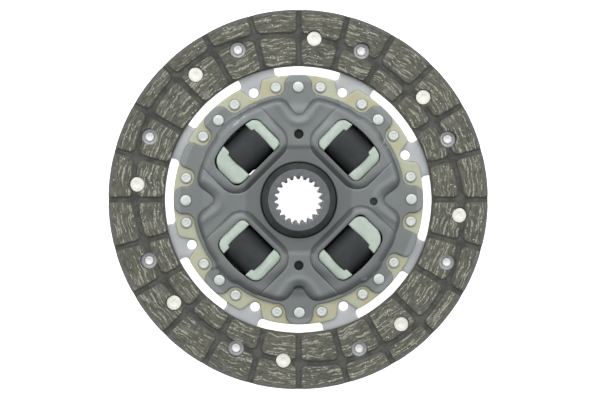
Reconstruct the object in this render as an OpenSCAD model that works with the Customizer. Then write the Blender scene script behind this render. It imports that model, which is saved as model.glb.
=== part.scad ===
/* [Facings] */
// outside diameter of both friction facings
disc_d = 200; // [180:5:220]
// inside diameter of both friction facings, as a share of disc_d
facing_inner_share = 0.71; // [0.708:0.002:0.712]
// thickness of one facing
facing_t = 3.5; // [3.2:0.1:4]
// number of radial grooves in each facing
groove_n = 24; // [12:12:24]
// width of a radial groove
groove_w = 2.4; // [1.5:0.1:3]
// depth of all facing grooves
groove_deep = 0.9; // [0.5:0.1:1.2]
// long radius of the oval groove, as a share of disc_d
oval_long_share = 0.454; // [0.452:0.001:0.456]
// short radius of the oval groove, as a share of disc_d
oval_short_share = 0.4105; // [0.4085:0.001:0.4125]
// direction of the oval groove's long axis
oval_turn_deg = 135; // [0:5:180]
// width of the oval groove
oval_w = 2; // [1.2:0.1:2.6]

/* [Facing rivets] */
// radius of the circle that the facing rivets stand on, as a share of disc_d
facing_rivet_share = 0.4265; // [0.4255:0.0005:0.4275]
// angle of the first rivet whose head is in the front facing
front_rivet_deg = 39.5; // [39:0.5:41]
// angle of the first rivet whose head is in the rear facing
rear_rivet_deg = 22.1; // [21.6:0.5:23.1]
// diameter of a facing rivet's head
facing_head_d = 8; // [7:0.1:8.1]
// thickness of a facing rivet's head
facing_head_t = 0.9; // [0.7:0.1:1.1]
// gap between a facing rivet's head and its counterbore
head_gap = 0.15; // [0.1:0.05:0.3]
// facing material left under a rivet head
facing_floor_t = 1.4; // [1.2:0.1:1.6]
// diameter of a facing rivet's hollow shank
facing_shank_d = 4; // [3.4:0.1:4.2]
// diameter of the rolled tail of a facing rivet
facing_tail_d = 5.4; // [5:0.1:6.4]
// hollow in a facing rivet's shank
facing_hollow_d = 2.4; // [1.8:0.1:2.8]

/* [Cushion segments] */
// sheet thickness of a cushion segment
segment_t = 0.8; // [0.7:0.1:0.8]
// how far each lobe is set off the middle plane
segment_wave = 0.2; // [0.1:0.05:0.3]
// inner radius of a segment's riveted base, as a share of disc_d
segment_inner_share = 0.2755; // [0.2745:0.0005:0.2765]
// outer radius of a segment's lobes, as a share of disc_d
segment_outer_share = 0.4875; // [0.4825:0.0025:0.4925]
// angle at which a neck begins
neck_start_deg = 10.7; // [10:0.1:12]
// angle at which a neck ends
neck_end_deg = 26.8; // [25.5:0.1:27]
// radius where the lobes begin, behind the facings, as a share of disc_d
lobe_inner_share = 0.361; // [0.359:0.001:0.363]
// gap between neighbouring segments, as an angle
segment_gap_deg = 0.8; // [0.5:0.1:1.2]
// radius of the see-through hole in a segment, as a share of disc_d
locate_share = 0.3065; // [0.3055:0.0005:0.3075]
// diameter of the see-through hole in a segment
locate_d = 4.9; // [4:0.1:5.2]

/* [Disc plate] */
// radius of the disc plate's rim, as a share of disc_d
plate_rim_share = 0.33; // [0.329:0.0005:0.331]
// sheet thickness of the disc plate
plate_t = 1.6; // [1.5:0.1:1.7]
// outside radius of the dish that holds the hub flange, as a share of disc_d
dish_share = 0.273; // [0.272:0.0005:0.274]
// depth of the dish behind the middle plane, to the sheet's inner face
dish_deep = 6.5; // [6.4:0.1:6.8]
// gap between the hub and the opening in both plates
bore_gap = 1.1; // [1:0.1:1.3]
// radius at the bottom of a rim notch
notch_tip_r = 3.2; // [2.8:0.1:3.6]
// half angle between the sides of a rim notch
notch_flare_deg = 31; // [28:1:34]

/* [Cover plate] */
// radius of the cover plate's edge between the ears, as a share of disc_d
cover_share = 0.281; // [0.28:0.0005:0.282]
// sheet thickness of the cover plate
cover_t = 2; // [1.9:0.1:2.1]
// height of the raised middle over the ears
cover_rise = 3; // [2.9:0.1:3.3]
// width of an ear
ear_w = 14.2; // [13.4:0.2:15]
// inset of an ear from the disc plate's rim
ear_inset = 0.2; // [0.1:0.1:0.6]
// gap between a small rivet's head and the cutaway round it
cutaway_gap = 1.55; // [1.35:0.05:1.75]
// radius at the tip of a pressed V
vee_tip_r = 3; // [2.6:0.1:3.4]
// distance of a pressed V's tip from the axis, as a share of disc_d
vee_reach_share = 0.226; // [0.225:0.0005:0.227]
// half angle between the sides of a pressed V
vee_flare_deg = 33; // [31:1:34]
// height of the raised lips round the windows
lip_h = 1.2; // [0.8:0.1:1.4]
// width of the raised lips round the windows
lip_w = 1.7; // [1.2:0.1:1.8]
// half the angle that a plain lobe of the rim spans
lobe_half_deg = 6.4; // [6:0.1:7]
// diameter of the two larger holes in the cover plate
cover_hole_d = 4.8; // [4.4:0.1:5]
// radius of the circle of the two larger holes, as a share of disc_d
hole_share = 0.1725; // [0.1715:0.0005:0.1735]
// diameter of the smaller hole in the cover plate
cover_small_hole_d = 3.9; // [3.6:0.1:4.2]
// distance of the smaller hole from the axis, as a share of disc_d
small_hole_share = 0.1965; // [0.1955:0.0005:0.1975]

/* [Windows and damper blocks] */
// gap between a rubber block and the inner edge of its window
window_gap = 0.2; // [0.1:0.05:0.4]
// how far a rubber block reaches past the outer edge of its window
window_bite = 0.1; // [0:0.05:0.2]
// width of a seat along its window
seat_w = 6.2; // [5.6:0.1:6.6]
// width of the wide seat in two of the windows
wide_seat_w = 9.1; // [8.6:0.1:9.4]
// corner radius of the windows
window_corner = 4.5; // [4:0.1:5]
// diameter of a rubber block
rubber_d = 20; // [19.4:0.1:20.4]
// length of a rubber block
rubber_len = 18.2; // [17.4:0.2:18.8]
// radius of the circle that the rubber blocks lie on, as a share of disc_d
rubber_circle_share = 0.1905; // [0.1895:0.0005:0.1915]
// height of a seat
seat_h = 18; // [17:0.2:18.4]
// how far a seat's lip reaches over the rubber
seat_lip = 1.2; // [0.8:0.1:1.6]
// play between a seat and the window's edge
seat_play = 0.05; // [0.04:0.01:0.1]

/* [Hub] */
// root diameter of the spline
spline_major_d = 25.6; // [25.2:0.1:25.8]
// height of the spline's teeth
spline_tooth = 1.9; // [1.7:0.1:2.1]
// number of splines
spline_n = 21; // [18:1:22]
// angle of the first spline groove
spline_turn_deg = -3.33; // [-8:0.01:8]
// radius of the hub's barrel, as a share of disc_d
barrel_share = 0.0955; // [0.095:0.0005:0.096]
// radius of the hub's front face, as a share of disc_d
hub_face_share = 0.08; // [0.078:0.0005:0.082]
// height of the hub's front face above the middle plane
hub_front = 14; // [13.5:0.5:16]
// depth of the hub's rear face below the middle plane
hub_rear = 13; // [12.5:0.5:15]
// length of the hub's front cone
hub_cone = 5; // [4:0.5:5]
// thickness of the hub's flange
flange_t = 7; // [6.8:0.1:7]
// radius of the hub's flange, as a share of disc_d
flange_share = 0.26; // [0.259:0.0005:0.261]
// twist that the damper allows each way
twist_deg = 6; // [4:0.5:7]
// gap between the flange and what it turns beside
flange_play = 0.4; // [0.3:0.05:0.6]

/* [Plate rivets] */
// radius of the circle of small rivets, as a share of disc_d
small_rivet_share = 0.302; // [0.301:0.0005:0.303]
// radius of the circle of ear rivets, as a share of disc_d
ear_rivet_share = 0.297; // [0.296:0.0005:0.298]
// diameter of a small rivet's head
small_head_d = 5.7; // [5.2:0.1:5.9]
// diameter of an ear rivet's head
ear_head_d = 5.8; // [5.2:0.1:6]
// shank diameter of the plate rivets
shank_d = 4; // [3.6:0.1:4.2]
// height of the plate rivets' heads
head_h = 1.3; // [1:0.1:1.5]
// angle by which the rivet pattern is turned from the windows
pattern_turn_deg = 0.3; // [0:0.1:0.5]

/* [Friction rings] */
// outer radius of the friction rings, as a share of disc_d
ring_outer_share = 0.132; // [0.131:0.0005:0.133]
// gap between the hub and the friction rings
ring_gap = 0.6; // [0.5:0.1:0.7]
// thickness of the thrust ring
thrust_t = 0.8; // [0.6:0.1:0.9]
// thickness of the bush's collar
collar_t = 1.2; // [1:0.1:1.2]
// sheet thickness of the cone spring
spring_t = 0.4; // [0.3:0.05:0.45]
// running play round the hub
hub_play = 0.05; // [0.03:0.01:0.08]

/* [Hidden] */
$fn = 96;
segment_n = 8;
window_n = 4;
oval_long = disc_d * oval_long_share;
oval_short = disc_d * oval_short_share;
facing_rivet_r = disc_d * facing_rivet_share;
segment_ri = disc_d * segment_inner_share;
segment_ro = disc_d * segment_outer_share;
lobe_ri = disc_d * lobe_inner_share;
locate_r = disc_d * locate_share;
plate_ro = disc_d * plate_rim_share;
dish_r = disc_d * dish_share;
cover_r = disc_d * cover_share;
ear_half = ear_w / 2;
ear_r = plate_ro - ear_inset;
cutaway_r = small_head_d / 2 + cutaway_gap;
vee_reach = disc_d * vee_reach_share;
rubber_r = disc_d * rubber_circle_share;
window_ri = rubber_r - rubber_d / 2 - window_gap;
window_ro = rubber_r + rubber_d / 2 - window_bite;
window_side = rubber_len / 2 + seat_w;
window_wide = rubber_len / 2 + wide_seat_w;
seat_half = seat_h / 2;
small_rivet_r = disc_d * small_rivet_share;
ear_rivet_r = disc_d * ear_rivet_share;
flange_r = disc_d * flange_share;
ring_ro = disc_d * ring_outer_share;
barrel_r = disc_d * barrel_share;
barrel_face_r = disc_d * hub_face_share;
plate_bore_r = barrel_r + bore_gap;
ring_ri = barrel_r + ring_gap;
pitch = 360 / segment_n;
window_pitch = 360 / window_n;
over = segment_t;
facing_ro = disc_d / 2;
facing_bore_d = facing_head_d + 2 * head_gap;
facing_ri = disc_d * facing_inner_share / 2;
facing_in = segment_t / 2 + segment_wave;
facing_out = facing_in + facing_t;
rim_z = segment_t / 2;
ear_z = rim_z + plate_t;
ear_top = ear_z + cover_t;
mesa_z = ear_z + cover_rise;
mesa_top = mesa_z + cover_t;
dish_back = dish_deep + plate_t;
flange_half = flange_t / 2;
cone_share = 0.52;
knee_share = 0.2;
wall_share = 0.8;
far_share = 1.4;
root_share = 0.9;
hole_room_share = 0.68;
edge_share = 0.2;
small_back_share = 1.1;
ear_back_share = 1.15;
crest_share = 0.11;
groove_share = 0.036;
sink_share = 0.97;
vee_wall = cover_t * wall_share;
ear_root = cover_r * root_share;
dish_step = dish_deep - flange_half;
shank_fit = seat_play;
oval_shift = (oval_long - oval_short) / (2 - sqrt(2));
seat_corner_share = 1.35;
seat_wide_corner = window_corner * seat_corner_share;
rubber_edge_share = 1 / 30;
rubber_edge = rubber_d * rubber_edge_share;
ear_corner_share = 0.72;
ear_corner = ear_half * ear_corner_share;
lobe_deg = [157.8, 337.8];
cover_hole_r = disc_d * hole_share;
cover_small_hole_r = disc_d * small_hole_share;

module at(r, a) {
  rotate(a) translate([r, 0, 0]) children();
}

module ring2d(ro, ri) {
  difference() {
    circle(ro);
    circle(ri);
  }
}

module tube(ro, ri, z0, z1) {
  translate([0, 0, z0]) linear_extrude(z1 - z0) ring2d(ro, ri);
}

module rod(r, z0, z1) {
  translate([0, 0, z0]) cylinder(r = r, h = z1 - z0);
}

module cone(r0, r1, z0, z1) {
  translate([0, 0, z0]) cylinder(r1 = r0, r2 = r1, h = z1 - z0);
}

// a wedge from the axis between two angles, at most 120 degrees apart
module wedge(a0, a1, reach) {
  middle = (a0 + a1) / 2;
  far = reach / cos((a1 - a0) / 4);
  polygon([[0, 0],
           [far * cos(a0), far * sin(a0)],
           [far * cos(middle), far * sin(middle)],
           [far * cos(a1), far * sin(a1)]]);
}

module sector(ro, ri, a0, a1) {
  intersection() {
    ring2d(ro, ri);
    wedge(a0, a1, ro * far_share);
  }
}

// a V that opens outwards from a round tip; grow moves both sides out
module vee2d(tip_x, tip_r, flare, length, grow) {
  r = tip_r + grow;
  touch_x = tip_x - r * sin(flare);
  touch_y = r * cos(flare);
  translate([tip_x, 0]) circle(r);
  polygon([[touch_x, -touch_y],
           [touch_x + length * cos(flare), -touch_y - length * sin(flare)],
           [touch_x + length * cos(flare), touch_y + length * sin(flare)],
           [touch_x, touch_y]]);
}

// one window's outline, y counterclockwise, with its sides moved out by grow
module window2d(cw, ccw, corner, grow, low = window_ri, high = window_ro) {
  xi = low + corner;
  ya = ccw - corner;
  yb = cw - corner;
  reach = high - corner;
  xa = sqrt(reach * reach - ya * ya);
  xb = sqrt(reach * reach - yb * yb);
  r = corner + grow;
  translate([xi, ya]) circle(r);
  translate([xa, ya]) circle(r);
  translate([xi, -yb]) circle(r);
  translate([xb, -yb]) circle(r);
  translate([low - grow, -yb]) square([corner + grow, ya + yb]);
  translate([xi, 0]) square([xa - xi, ccw + grow]);
  translate([xi, -cw - grow]) square([xb - xi, cw + grow]);
  intersection() {
    circle(high + grow);
    polygon([[xi, -yb], [xb, -yb], far_share * [xb, -yb], far_share * [xa, ya], [xa, ya], [xi, ya]]);
  }
}

function wide(i) = i % 2 == 1;
function ccw_side(i) = wide(i) ? window_wide : window_side;

module windows2d(grow, low = window_ri, high = window_ro) {
  for (i = [0 : window_n - 1])
    rotate(window_pitch * (i + 0.5))
      window2d(window_side, ccw_side(i), window_corner, grow, low, high);
}

// a four-arc oval line of the given width, its long axis along x
module oval2d(width) {
  for (turn = [0, 180]) {
    rotate(turn) translate([oval_shift, 0])
      sector(oval_long - oval_shift + width / 2, oval_long - oval_shift - width / 2, -45, 45);
    rotate(turn + 90) translate([-oval_shift, 0])
      sector(oval_short + oval_shift + width / 2, oval_short + oval_shift - width / 2, -45, 45);
  }
}

module facing(head_turn, tail_turn) {
  difference() {
    tube(facing_ro, facing_ri, facing_in, facing_out);
    for (i = [0 : groove_n - 1])
      rotate(i * 360 / groove_n)
        translate([facing_ri - over, -groove_w / 2, facing_out - groove_deep])
          cube([facing_ro - facing_ri + 2 * over, groove_w, groove_deep + over]);
    translate([0, 0, facing_out - groove_deep])
      linear_extrude(groove_deep + over) rotate(oval_turn_deg) oval2d(oval_w);
    for (k = [0 : segment_n - 1]) {
      at(facing_rivet_r, head_turn + k * pitch) {
        rod(facing_shank_d / 2 + shank_fit, facing_in - over, facing_out);
        rod(facing_bore_d / 2, facing_in + facing_floor_t, facing_out + over);
      }
      at(facing_rivet_r, tail_turn + k * pitch)
        rod(facing_bore_d / 2, facing_in - over, facing_out + over);
    }
  }
}

module front_facing() {
  color("dimgray") facing(front_rivet_deg, rear_rivet_deg);
}

module rear_facing() {
  color("dimgray") mirror([0, 0, 1]) facing(rear_rivet_deg, front_rivet_deg);
}

// a hollow rivet: head in the facing, tail rolled over the cushion segment
module facing_rivet() {
  head_z = facing_in + facing_floor_t;
  tail_z = segment_wave - segment_t / 2;
  tail_end = tail_z - facing_head_t;
  difference() {
    union() {
      rod(facing_head_d / 2, head_z, head_z + facing_head_t);
      rod(facing_shank_d / 2, tail_z - segment_wave, head_z + segment_wave);
      rod(facing_tail_d / 2, tail_end, tail_z);
    }
    rod(facing_hollow_d / 2, tail_end - over, head_z);
  }
}

module front_facing_rivets() {
  color("ivory")
    for (k = [0 : segment_n - 1])
      at(facing_rivet_r, front_rivet_deg + k * pitch) facing_rivet();
}

module rear_facing_rivets() {
  color("ivory")
    for (k = [0 : segment_n - 1])
      at(facing_rivet_r, rear_rivet_deg + k * pitch) mirror([0, 0, 1]) facing_rivet();
}

module lobe(a0, a1, shift) {
  translate([0, 0, shift - segment_t / 2])
    linear_extrude(segment_t) sector(segment_ro, lobe_ri, a0, a1);
}

module cushion_segment(k) {
  base_a0 = pattern_turn_deg + segment_gap_deg / 2;
  base_a1 = pattern_turn_deg + pitch - segment_gap_deg / 2;
  middle = pattern_turn_deg + pitch / 2;
  slot_r = (lobe_ri - plate_ro) / 2;
  slot_mid = (lobe_ri + plate_ro) / 2;
  slot_turn = neck_end_deg + asin(slot_r / slot_mid);
  lobe_a0 = neck_start_deg + segment_gap_deg / 2;
  lobe_a1 = neck_start_deg + pitch - segment_gap_deg;
  split = (front_rivet_deg + rear_rivet_deg) / 2;
  color("lightsteelblue") rotate(k * pitch) difference() {
    union() {
      translate([0, 0, -segment_t / 2]) linear_extrude(segment_t) difference() {
        union() {
          sector(plate_ro, segment_ri, base_a0, base_a1);
          sector(lobe_ri + slot_r, plate_ro - slot_r, neck_start_deg, slot_turn);
        }
        at(slot_mid, slot_turn) circle(slot_r);
        for (side = [-1, 1])
          at(small_rivet_r, middle + side * pitch / 4) circle(shank_d / 2 + shank_fit);
        for (end = [0, 1])
          at(ear_rivet_r, pattern_turn_deg + end * pitch) circle(ear_head_d * hole_room_share);
        at(locate_r, middle) circle(locate_d / 2);
      }
      lobe(lobe_a0, split, -segment_wave);
      lobe(split - segment_gap_deg, lobe_a1, segment_wave);
    }
    for (a = [front_rivet_deg, rear_rivet_deg])
      at(facing_rivet_r, a) rod(facing_shank_d / 2 + shank_fit, -facing_in - over, facing_in + over);
  }
}

module plate_rim2d() {
  difference() {
    circle(plate_ro);
    for (k = [0 : segment_n - 1])
      rotate(pattern_turn_deg + (k + 0.5) * pitch)
        vee2d(locate_r, notch_tip_r, notch_flare_deg, plate_ro - locate_r + 4 * notch_tip_r, 0);
  }
}

module disc_plate() {
  knee = flange_half + dish_step * cone_share * knee_share;
  foot_r = dish_r - dish_step * cone_share;
  color("palegoldenrod") difference() {
    union() {
      translate([0, 0, rim_z]) linear_extrude(plate_t) plate_rim2d();
      rod(dish_r, -knee - plate_t / 2, ear_z);
      cone(foot_r, dish_r, -dish_back, -knee - plate_t / 2);
      translate([0, 0, -dish_back - lip_h]) linear_extrude(lip_h + plate_t / 2) windows2d(lip_w);
    }
    rod(dish_r - plate_t, -knee, ear_z + over);
    cone(foot_r - plate_t, dish_r - plate_t, -dish_deep, -knee);
    translate([0, 0, -dish_back - lip_h - over])
      linear_extrude(dish_back + lip_h) windows2d(0);
    rod(plate_bore_r, -dish_back - over, 0);
    for (k = [0 : segment_n - 1]) {
      at(ear_rivet_r, pattern_turn_deg + k * pitch)
        rod(shank_d / 2 + shank_fit, rim_z - over, ear_z + over);
      for (side = [-1, 1])
        at(small_rivet_r, pattern_turn_deg + (k + 0.5 + side / 4) * pitch)
          rod(shank_d / 2 + shank_fit, rim_z - over, ear_z + over);
    }
  }
}

module ear2d() {
  shoulder = small_rivet_r * sin(pitch / 4);
  corner_x = sqrt((ear_r - ear_corner) * (ear_r - ear_corner)
                  - (ear_half - ear_corner) * (ear_half - ear_corner));
  translate([ear_root, -ear_half]) square([corner_x - ear_root, 2 * ear_half]);
  translate([corner_x, ear_half - ear_corner]) circle(ear_corner);
  translate([corner_x, -ear_half + ear_corner]) circle(ear_corner);
  sector(ear_r, ear_root, -asin((ear_half - ear_corner) / (ear_r - ear_corner)),
         asin((ear_half - ear_corner) / (ear_r - ear_corner)));
  translate([ear_root, -shoulder])
    square([small_rivet_r * cos(pitch / 4) - ear_root, 2 * shoulder]);
}

module cover_rim2d() {
  difference() {
    union() {
      circle(cover_r);
      for (k = [0 : segment_n - 1]) rotate(pattern_turn_deg + k * pitch) ear2d();
      for (a = lobe_deg) sector(ear_r, ear_root, a - lobe_half_deg, a + lobe_half_deg);
    }
    for (k = [0 : segment_n - 1])
      for (side = [-1, 1])
        at(small_rivet_r, pattern_turn_deg + (k + 0.5 + side / 4) * pitch) circle(cutaway_r);
  }
}

module vees2d(grow) {
  for (i = [0 : window_n - 1])
    rotate(i * window_pitch)
      vee2d(vee_reach + vee_tip_r, vee_tip_r, vee_flare_deg, dish_r / 2, grow);
}

module cover_plate() {
  slope = cover_rise * cone_share;
  crown_r = dish_r - slope;
  color("slategray") difference() {
    union() {
      translate([0, 0, ear_z]) linear_extrude(cover_t) cover_rim2d();
      difference() {
        union() {
          rod(dish_r, ear_z, ear_top);
          cone(dish_r, crown_r, ear_top, mesa_top);
          translate([0, 0, mesa_z]) linear_extrude(lip_h + cover_t) windows2d(lip_w);
        }
        translate([0, 0, ear_top]) linear_extrude(cover_rise + cover_t) vees2d(0);
      }
    }
    difference() {
      union() {
        rod(dish_r - vee_wall, ear_z - over, ear_z + cover_rise / 2);
        cone(dish_r - vee_wall, crown_r - vee_wall, ear_z + cover_rise / 2, mesa_z);
      }
      translate([0, 0, ear_z - 2 * over]) linear_extrude(cover_rise + 3 * over) vees2d(vee_wall);
    }
    translate([0, 0, ear_z - over]) linear_extrude(mesa_top + lip_h) windows2d(0);
    rod(plate_bore_r, ear_z - over, mesa_top + over);
    for (k = [0 : segment_n - 1])
      at(ear_rivet_r, pattern_turn_deg + k * pitch)
        rod(shank_d / 2 + shank_fit, ear_z - over, ear_top + over);
    for (a = [90, 270]) at(cover_hole_r, a) rod(cover_hole_d / 2, mesa_z - over, mesa_top + over);
    at(cover_small_hole_r, 0) rod(cover_small_hole_d / 2, mesa_z - over, mesa_top + over);
  }
}

// a solid rivet through a stack, with a head in front and a flat head behind
module plate_rivet(z0, z1, head_d, back_d) {
  rod(shank_d / 2, z0 - shank_fit, z1 + shank_fit);
  rod(head_d / 2, z1, z1 + head_h / 2);
  cone(head_d / 2, head_d / 2 - head_h / 2, z1 + head_h / 2, z1 + head_h);
  cone(back_d / 2 - head_h / 2, back_d / 2, z0 - head_h, z0 - head_h / 2);
  rod(back_d / 2, z0 - head_h / 2, z0);
}

module segment_rivets() {
  color("silver")
    for (k = [0 : segment_n - 1])
      for (side = [-1, 1])
        at(small_rivet_r, pattern_turn_deg + (k + 0.5 + side / 4) * pitch)
          plate_rivet(-rim_z, ear_z, small_head_d, small_head_d * small_back_share);
}

module ear_rivets() {
  color("silver")
    for (k = [0 : segment_n - 1])
      at(ear_rivet_r, pattern_turn_deg + k * pitch)
        plate_rivet(rim_z, ear_top, ear_head_d, ear_head_d * ear_back_share);
}

module spline2d() {
  root = spline_major_d / 2;
  crest = spline_major_d / 2 - spline_tooth;
  sink = crest * sink_share;
  crest_half = crest * crest_share;
  root_half = root * groove_share;
  circle(crest);
  for (i = [0 : spline_n - 1])
    rotate(spline_turn_deg + i * 360 / spline_n)
      polygon([[sink, -crest_half], [root, -root_half], [root, root_half], [sink, crest_half]]);
}

module flange2d() {
  reach_deg = twist_deg + segment_gap_deg;
  corner_r = sqrt(pow(rubber_r + rubber_d / 2, 2) + pow(rubber_len / 2, 2));
  difference() {
    circle(flange_r);
    windows2d(0, window_ri - flange_play, corner_r + flange_play);
    for (i = [0 : window_n - 1])
      rotate(i * window_pitch) {
        for (side = [-1, 1])
          rotate(side * reach_deg)
            vee2d(vee_reach + vee_tip_r, vee_tip_r, vee_flare_deg, dish_r / 2, vee_wall + flange_play);
        sector(dish_r, vee_reach - vee_wall - flange_play, -reach_deg, reach_deg);
      }
  }
}

module hub() {
  edge = hub_cone * edge_share;
  root = spline_major_d / 2;
  color("gray") difference() {
    union() {
      rod(barrel_r, -dish_back - collar_t, hub_front - hub_cone);
      cone(barrel_r, barrel_face_r, hub_front - hub_cone, hub_front);
      rod(barrel_r - edge, -hub_rear + edge, 0);
      cone(barrel_r - 2 * edge, barrel_r - edge, -hub_rear, -hub_rear + edge);
      translate([0, 0, -flange_half]) linear_extrude(flange_t) flange2d();
    }
    translate([0, 0, -hub_rear - over]) linear_extrude(hub_rear + hub_front + 2 * over) spline2d();
    cone(root + edge, root - spline_tooth, -hub_rear - edge / 2, -hub_rear + edge);
  }
}

module rubber(i) {
  half = rubber_len / 2;
  r = rubber_d / 2;
  color("black")
    rotate(window_pitch * (i - 0.5)) translate([rubber_r, 0, 0]) rotate([90, 0, 0])
      rotate_extrude()
        polygon([[0, -half], [r - rubber_edge, -half], [r, -half + rubber_edge],
                 [r, half - rubber_edge], [r - rubber_edge, half], [0, half]]);
}

// both seats of one window: each fills its end and lips over the rubber
module seats(i) {
  ccw = ccw_side(i - 1);
  corner = wide(i - 1) ? seat_wide_corner : window_corner;
  half = rubber_len / 2 + seat_play;
  lip_x = rubber_r + rubber_d / 4;
  color("honeydew")
    rotate(window_pitch * (i - 0.5)) difference() {
      translate([0, 0, -seat_half]) linear_extrude(2 * seat_half) union() {
        intersection() {
          window2d(window_side, ccw, window_corner, -seat_play);
          translate([0, -window_wide - half]) square([window_ro, window_wide]);
        }
        intersection() {
          window2d(window_side, ccw, corner, -seat_play);
          translate([0, half]) square([window_ro, window_wide]);
        }
        intersection() {
          window2d(window_side, ccw, window_corner, -seat_play);
          union() {
            translate([lip_x, -half - seat_lip]) square([window_ro - lip_x, 2 * seat_lip]);
            translate([lip_x, half - seat_lip]) square([window_ro - lip_x, 2 * seat_lip]);
          }
        }
      }
      translate([rubber_r, 0, 0]) rotate([90, 0, 0])
        rod(rubber_d / 2 + seat_play, -half, half);
      translate([0, -half + seat_lip, -seat_half - over])
        cube([window_ro, 2 * half - 2 * seat_lip, 2 * seat_half + 2 * over]);
    }
}

module front_friction_ring() {
  color("darkslategray") tube(ring_ro, ring_ri, flange_half + hub_play, mesa_z);
}

module thrust_ring() {
  color("silver") tube(ring_ro, ring_ri, -flange_half - hub_play - thrust_t, -flange_half - hub_play);
}

module cone_spring() {
  z0 = -dish_deep + collar_t;
  z1 = -flange_half - hub_play - thrust_t;
  inner = ring_ri + collar_t;
  outer = ring_ro - collar_t / 2;
  color("dimgray") rotate_extrude()
    polygon([[inner, z1 - spring_t], [inner, z1], [inner + spring_t, z1],
             [outer, z0 + spring_t], [outer, z0], [outer - spring_t, z0]]);
}

module guide_bush() {
  color("darkslategray") {
    tube(plate_bore_r - hub_play, barrel_r + hub_play, -dish_back - collar_t / 2, -dish_deep + collar_t);
    tube(ring_ro, barrel_r + hub_play, -dish_deep, -dish_deep + collar_t);
  }
}

front_facing();
rear_facing();
front_facing_rivets();
rear_facing_rivets();
cushion_segment(0);  // cushion_segment_1
cushion_segment(1);  // cushion_segment_2
cushion_segment(2);  // cushion_segment_3
cushion_segment(3);  // cushion_segment_4
cushion_segment(4);  // cushion_segment_5
cushion_segment(5);  // cushion_segment_6
cushion_segment(6);  // cushion_segment_7
cushion_segment(7);  // cushion_segment_8
disc_plate();
cover_plate();
segment_rivets();
ear_rivets();
hub();
rubber(1);  // rubber_1
rubber(2);  // rubber_2
rubber(3);  // rubber_3
rubber(4);  // rubber_4
seats(1);  // seats_1
seats(2);  // seats_2
seats(3);  // seats_3
seats(4);  // seats_4
front_friction_ring();
thrust_ring();
cone_spring();
guide_bush();
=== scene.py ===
import math

import bpy
import numpy as np
from mathutils import Matrix, Vector
from mathutils.geometry import delaunay_2d_cdt


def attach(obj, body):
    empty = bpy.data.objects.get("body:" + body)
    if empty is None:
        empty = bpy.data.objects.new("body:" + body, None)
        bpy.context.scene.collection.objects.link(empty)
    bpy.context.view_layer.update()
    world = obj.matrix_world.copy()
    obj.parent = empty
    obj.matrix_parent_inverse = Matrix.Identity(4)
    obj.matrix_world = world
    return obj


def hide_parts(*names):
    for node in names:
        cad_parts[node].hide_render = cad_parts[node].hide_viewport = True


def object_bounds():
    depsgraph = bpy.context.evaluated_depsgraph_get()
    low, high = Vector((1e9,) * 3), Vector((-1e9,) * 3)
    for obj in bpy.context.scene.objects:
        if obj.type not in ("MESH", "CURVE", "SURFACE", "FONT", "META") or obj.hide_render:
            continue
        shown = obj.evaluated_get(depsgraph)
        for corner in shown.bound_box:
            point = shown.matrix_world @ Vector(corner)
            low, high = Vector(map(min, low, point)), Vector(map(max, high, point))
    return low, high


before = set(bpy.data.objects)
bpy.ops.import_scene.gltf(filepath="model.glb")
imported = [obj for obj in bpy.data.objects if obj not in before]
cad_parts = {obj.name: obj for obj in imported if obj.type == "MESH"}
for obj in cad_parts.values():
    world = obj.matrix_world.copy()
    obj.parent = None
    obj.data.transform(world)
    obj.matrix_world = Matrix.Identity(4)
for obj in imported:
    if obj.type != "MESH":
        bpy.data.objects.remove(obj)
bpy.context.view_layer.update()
rng = np.random.default_rng(7)
MM = 0.001

# sizes that several pieces share, in millimetres and degrees; the front looks along +z

QUARTER = 90
EIGHTH = 45.0
TURN = 0.3
SEGMENT_MIDDLE = EIGHTH / 2 + TURN
RIVET_R = 85.3
HEAD_AT = 39.5
TAIL_AT = 22.1
SMALL_RIVET_R = 60.4
EAR_RIVET_R = 59.4
NOTCH_R = 61.3
PLATE_R = 66.0
DISC_TOP = 2.0
COVER_RIM_TOP = 4.0

# each damper window: its direction, and its reach clockwise and counterclockwise from there
WINDOWS = [(45, 15.3, 14.9), (135, 14.9, 18.6), (225, 14.6, 15.6), (315, 14.9, 18.4)]
WINDOW_LOW = 27.3
WINDOW_HIGH = 48.4
WINDOW_CORNER = 3.6

# plane figures: each gives the distance to an outline, negative inside it


def turned(x, y, deg):
    """The plane seen along the direction deg."""
    c, s = math.cos(math.radians(deg)), math.sin(math.radians(deg))
    return x * c + y * s, -x * s + y * c


def folded(x, y, start, pitch):
    """The plane seen from the nearest of the directions start + k * pitch."""
    a = np.degrees(np.arctan2(y, x)) - start
    a = np.radians(a - np.round(a / pitch) * pitch)
    r = np.hypot(x, y)
    return r * np.cos(a), r * np.sin(a)


def polar(r, deg):
    return r * math.cos(math.radians(deg)), r * math.sin(math.radians(deg))


def both(a, b, r=0.0):
    """What lies in both figures, its corners rounded by r."""
    if r <= 0:
        return np.maximum(a, b)
    return np.minimum(-r, np.maximum(a, b)) + np.hypot(np.maximum(a + r, 0), np.maximum(b + r, 0))


def either(a, b, r=0.0):
    """What lies in one of the figures, its inner corners rounded by r."""
    return -both(-a, -b, r)


def nearest(figures):
    return np.minimum.reduce(list(figures))


def drilled(f, seen, at, hole, corner=0.0):
    """f less a round hole, in the plane seen along the hole's direction."""
    u, v = seen
    return both(f, hole - np.hypot(u - at, v), corner)


def vee(x, y, tip_x, tip_r, flare):
    """A V that opens along +x from a round tip."""
    s, c = math.sin(math.radians(flare)), math.cos(math.radians(flare))
    y = np.abs(y)
    along = (x - tip_x) * c + y * s
    return np.where(along < 0, np.hypot(x - tip_x, y), -(x - tip_x) * s + y * c) - tip_r


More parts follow.
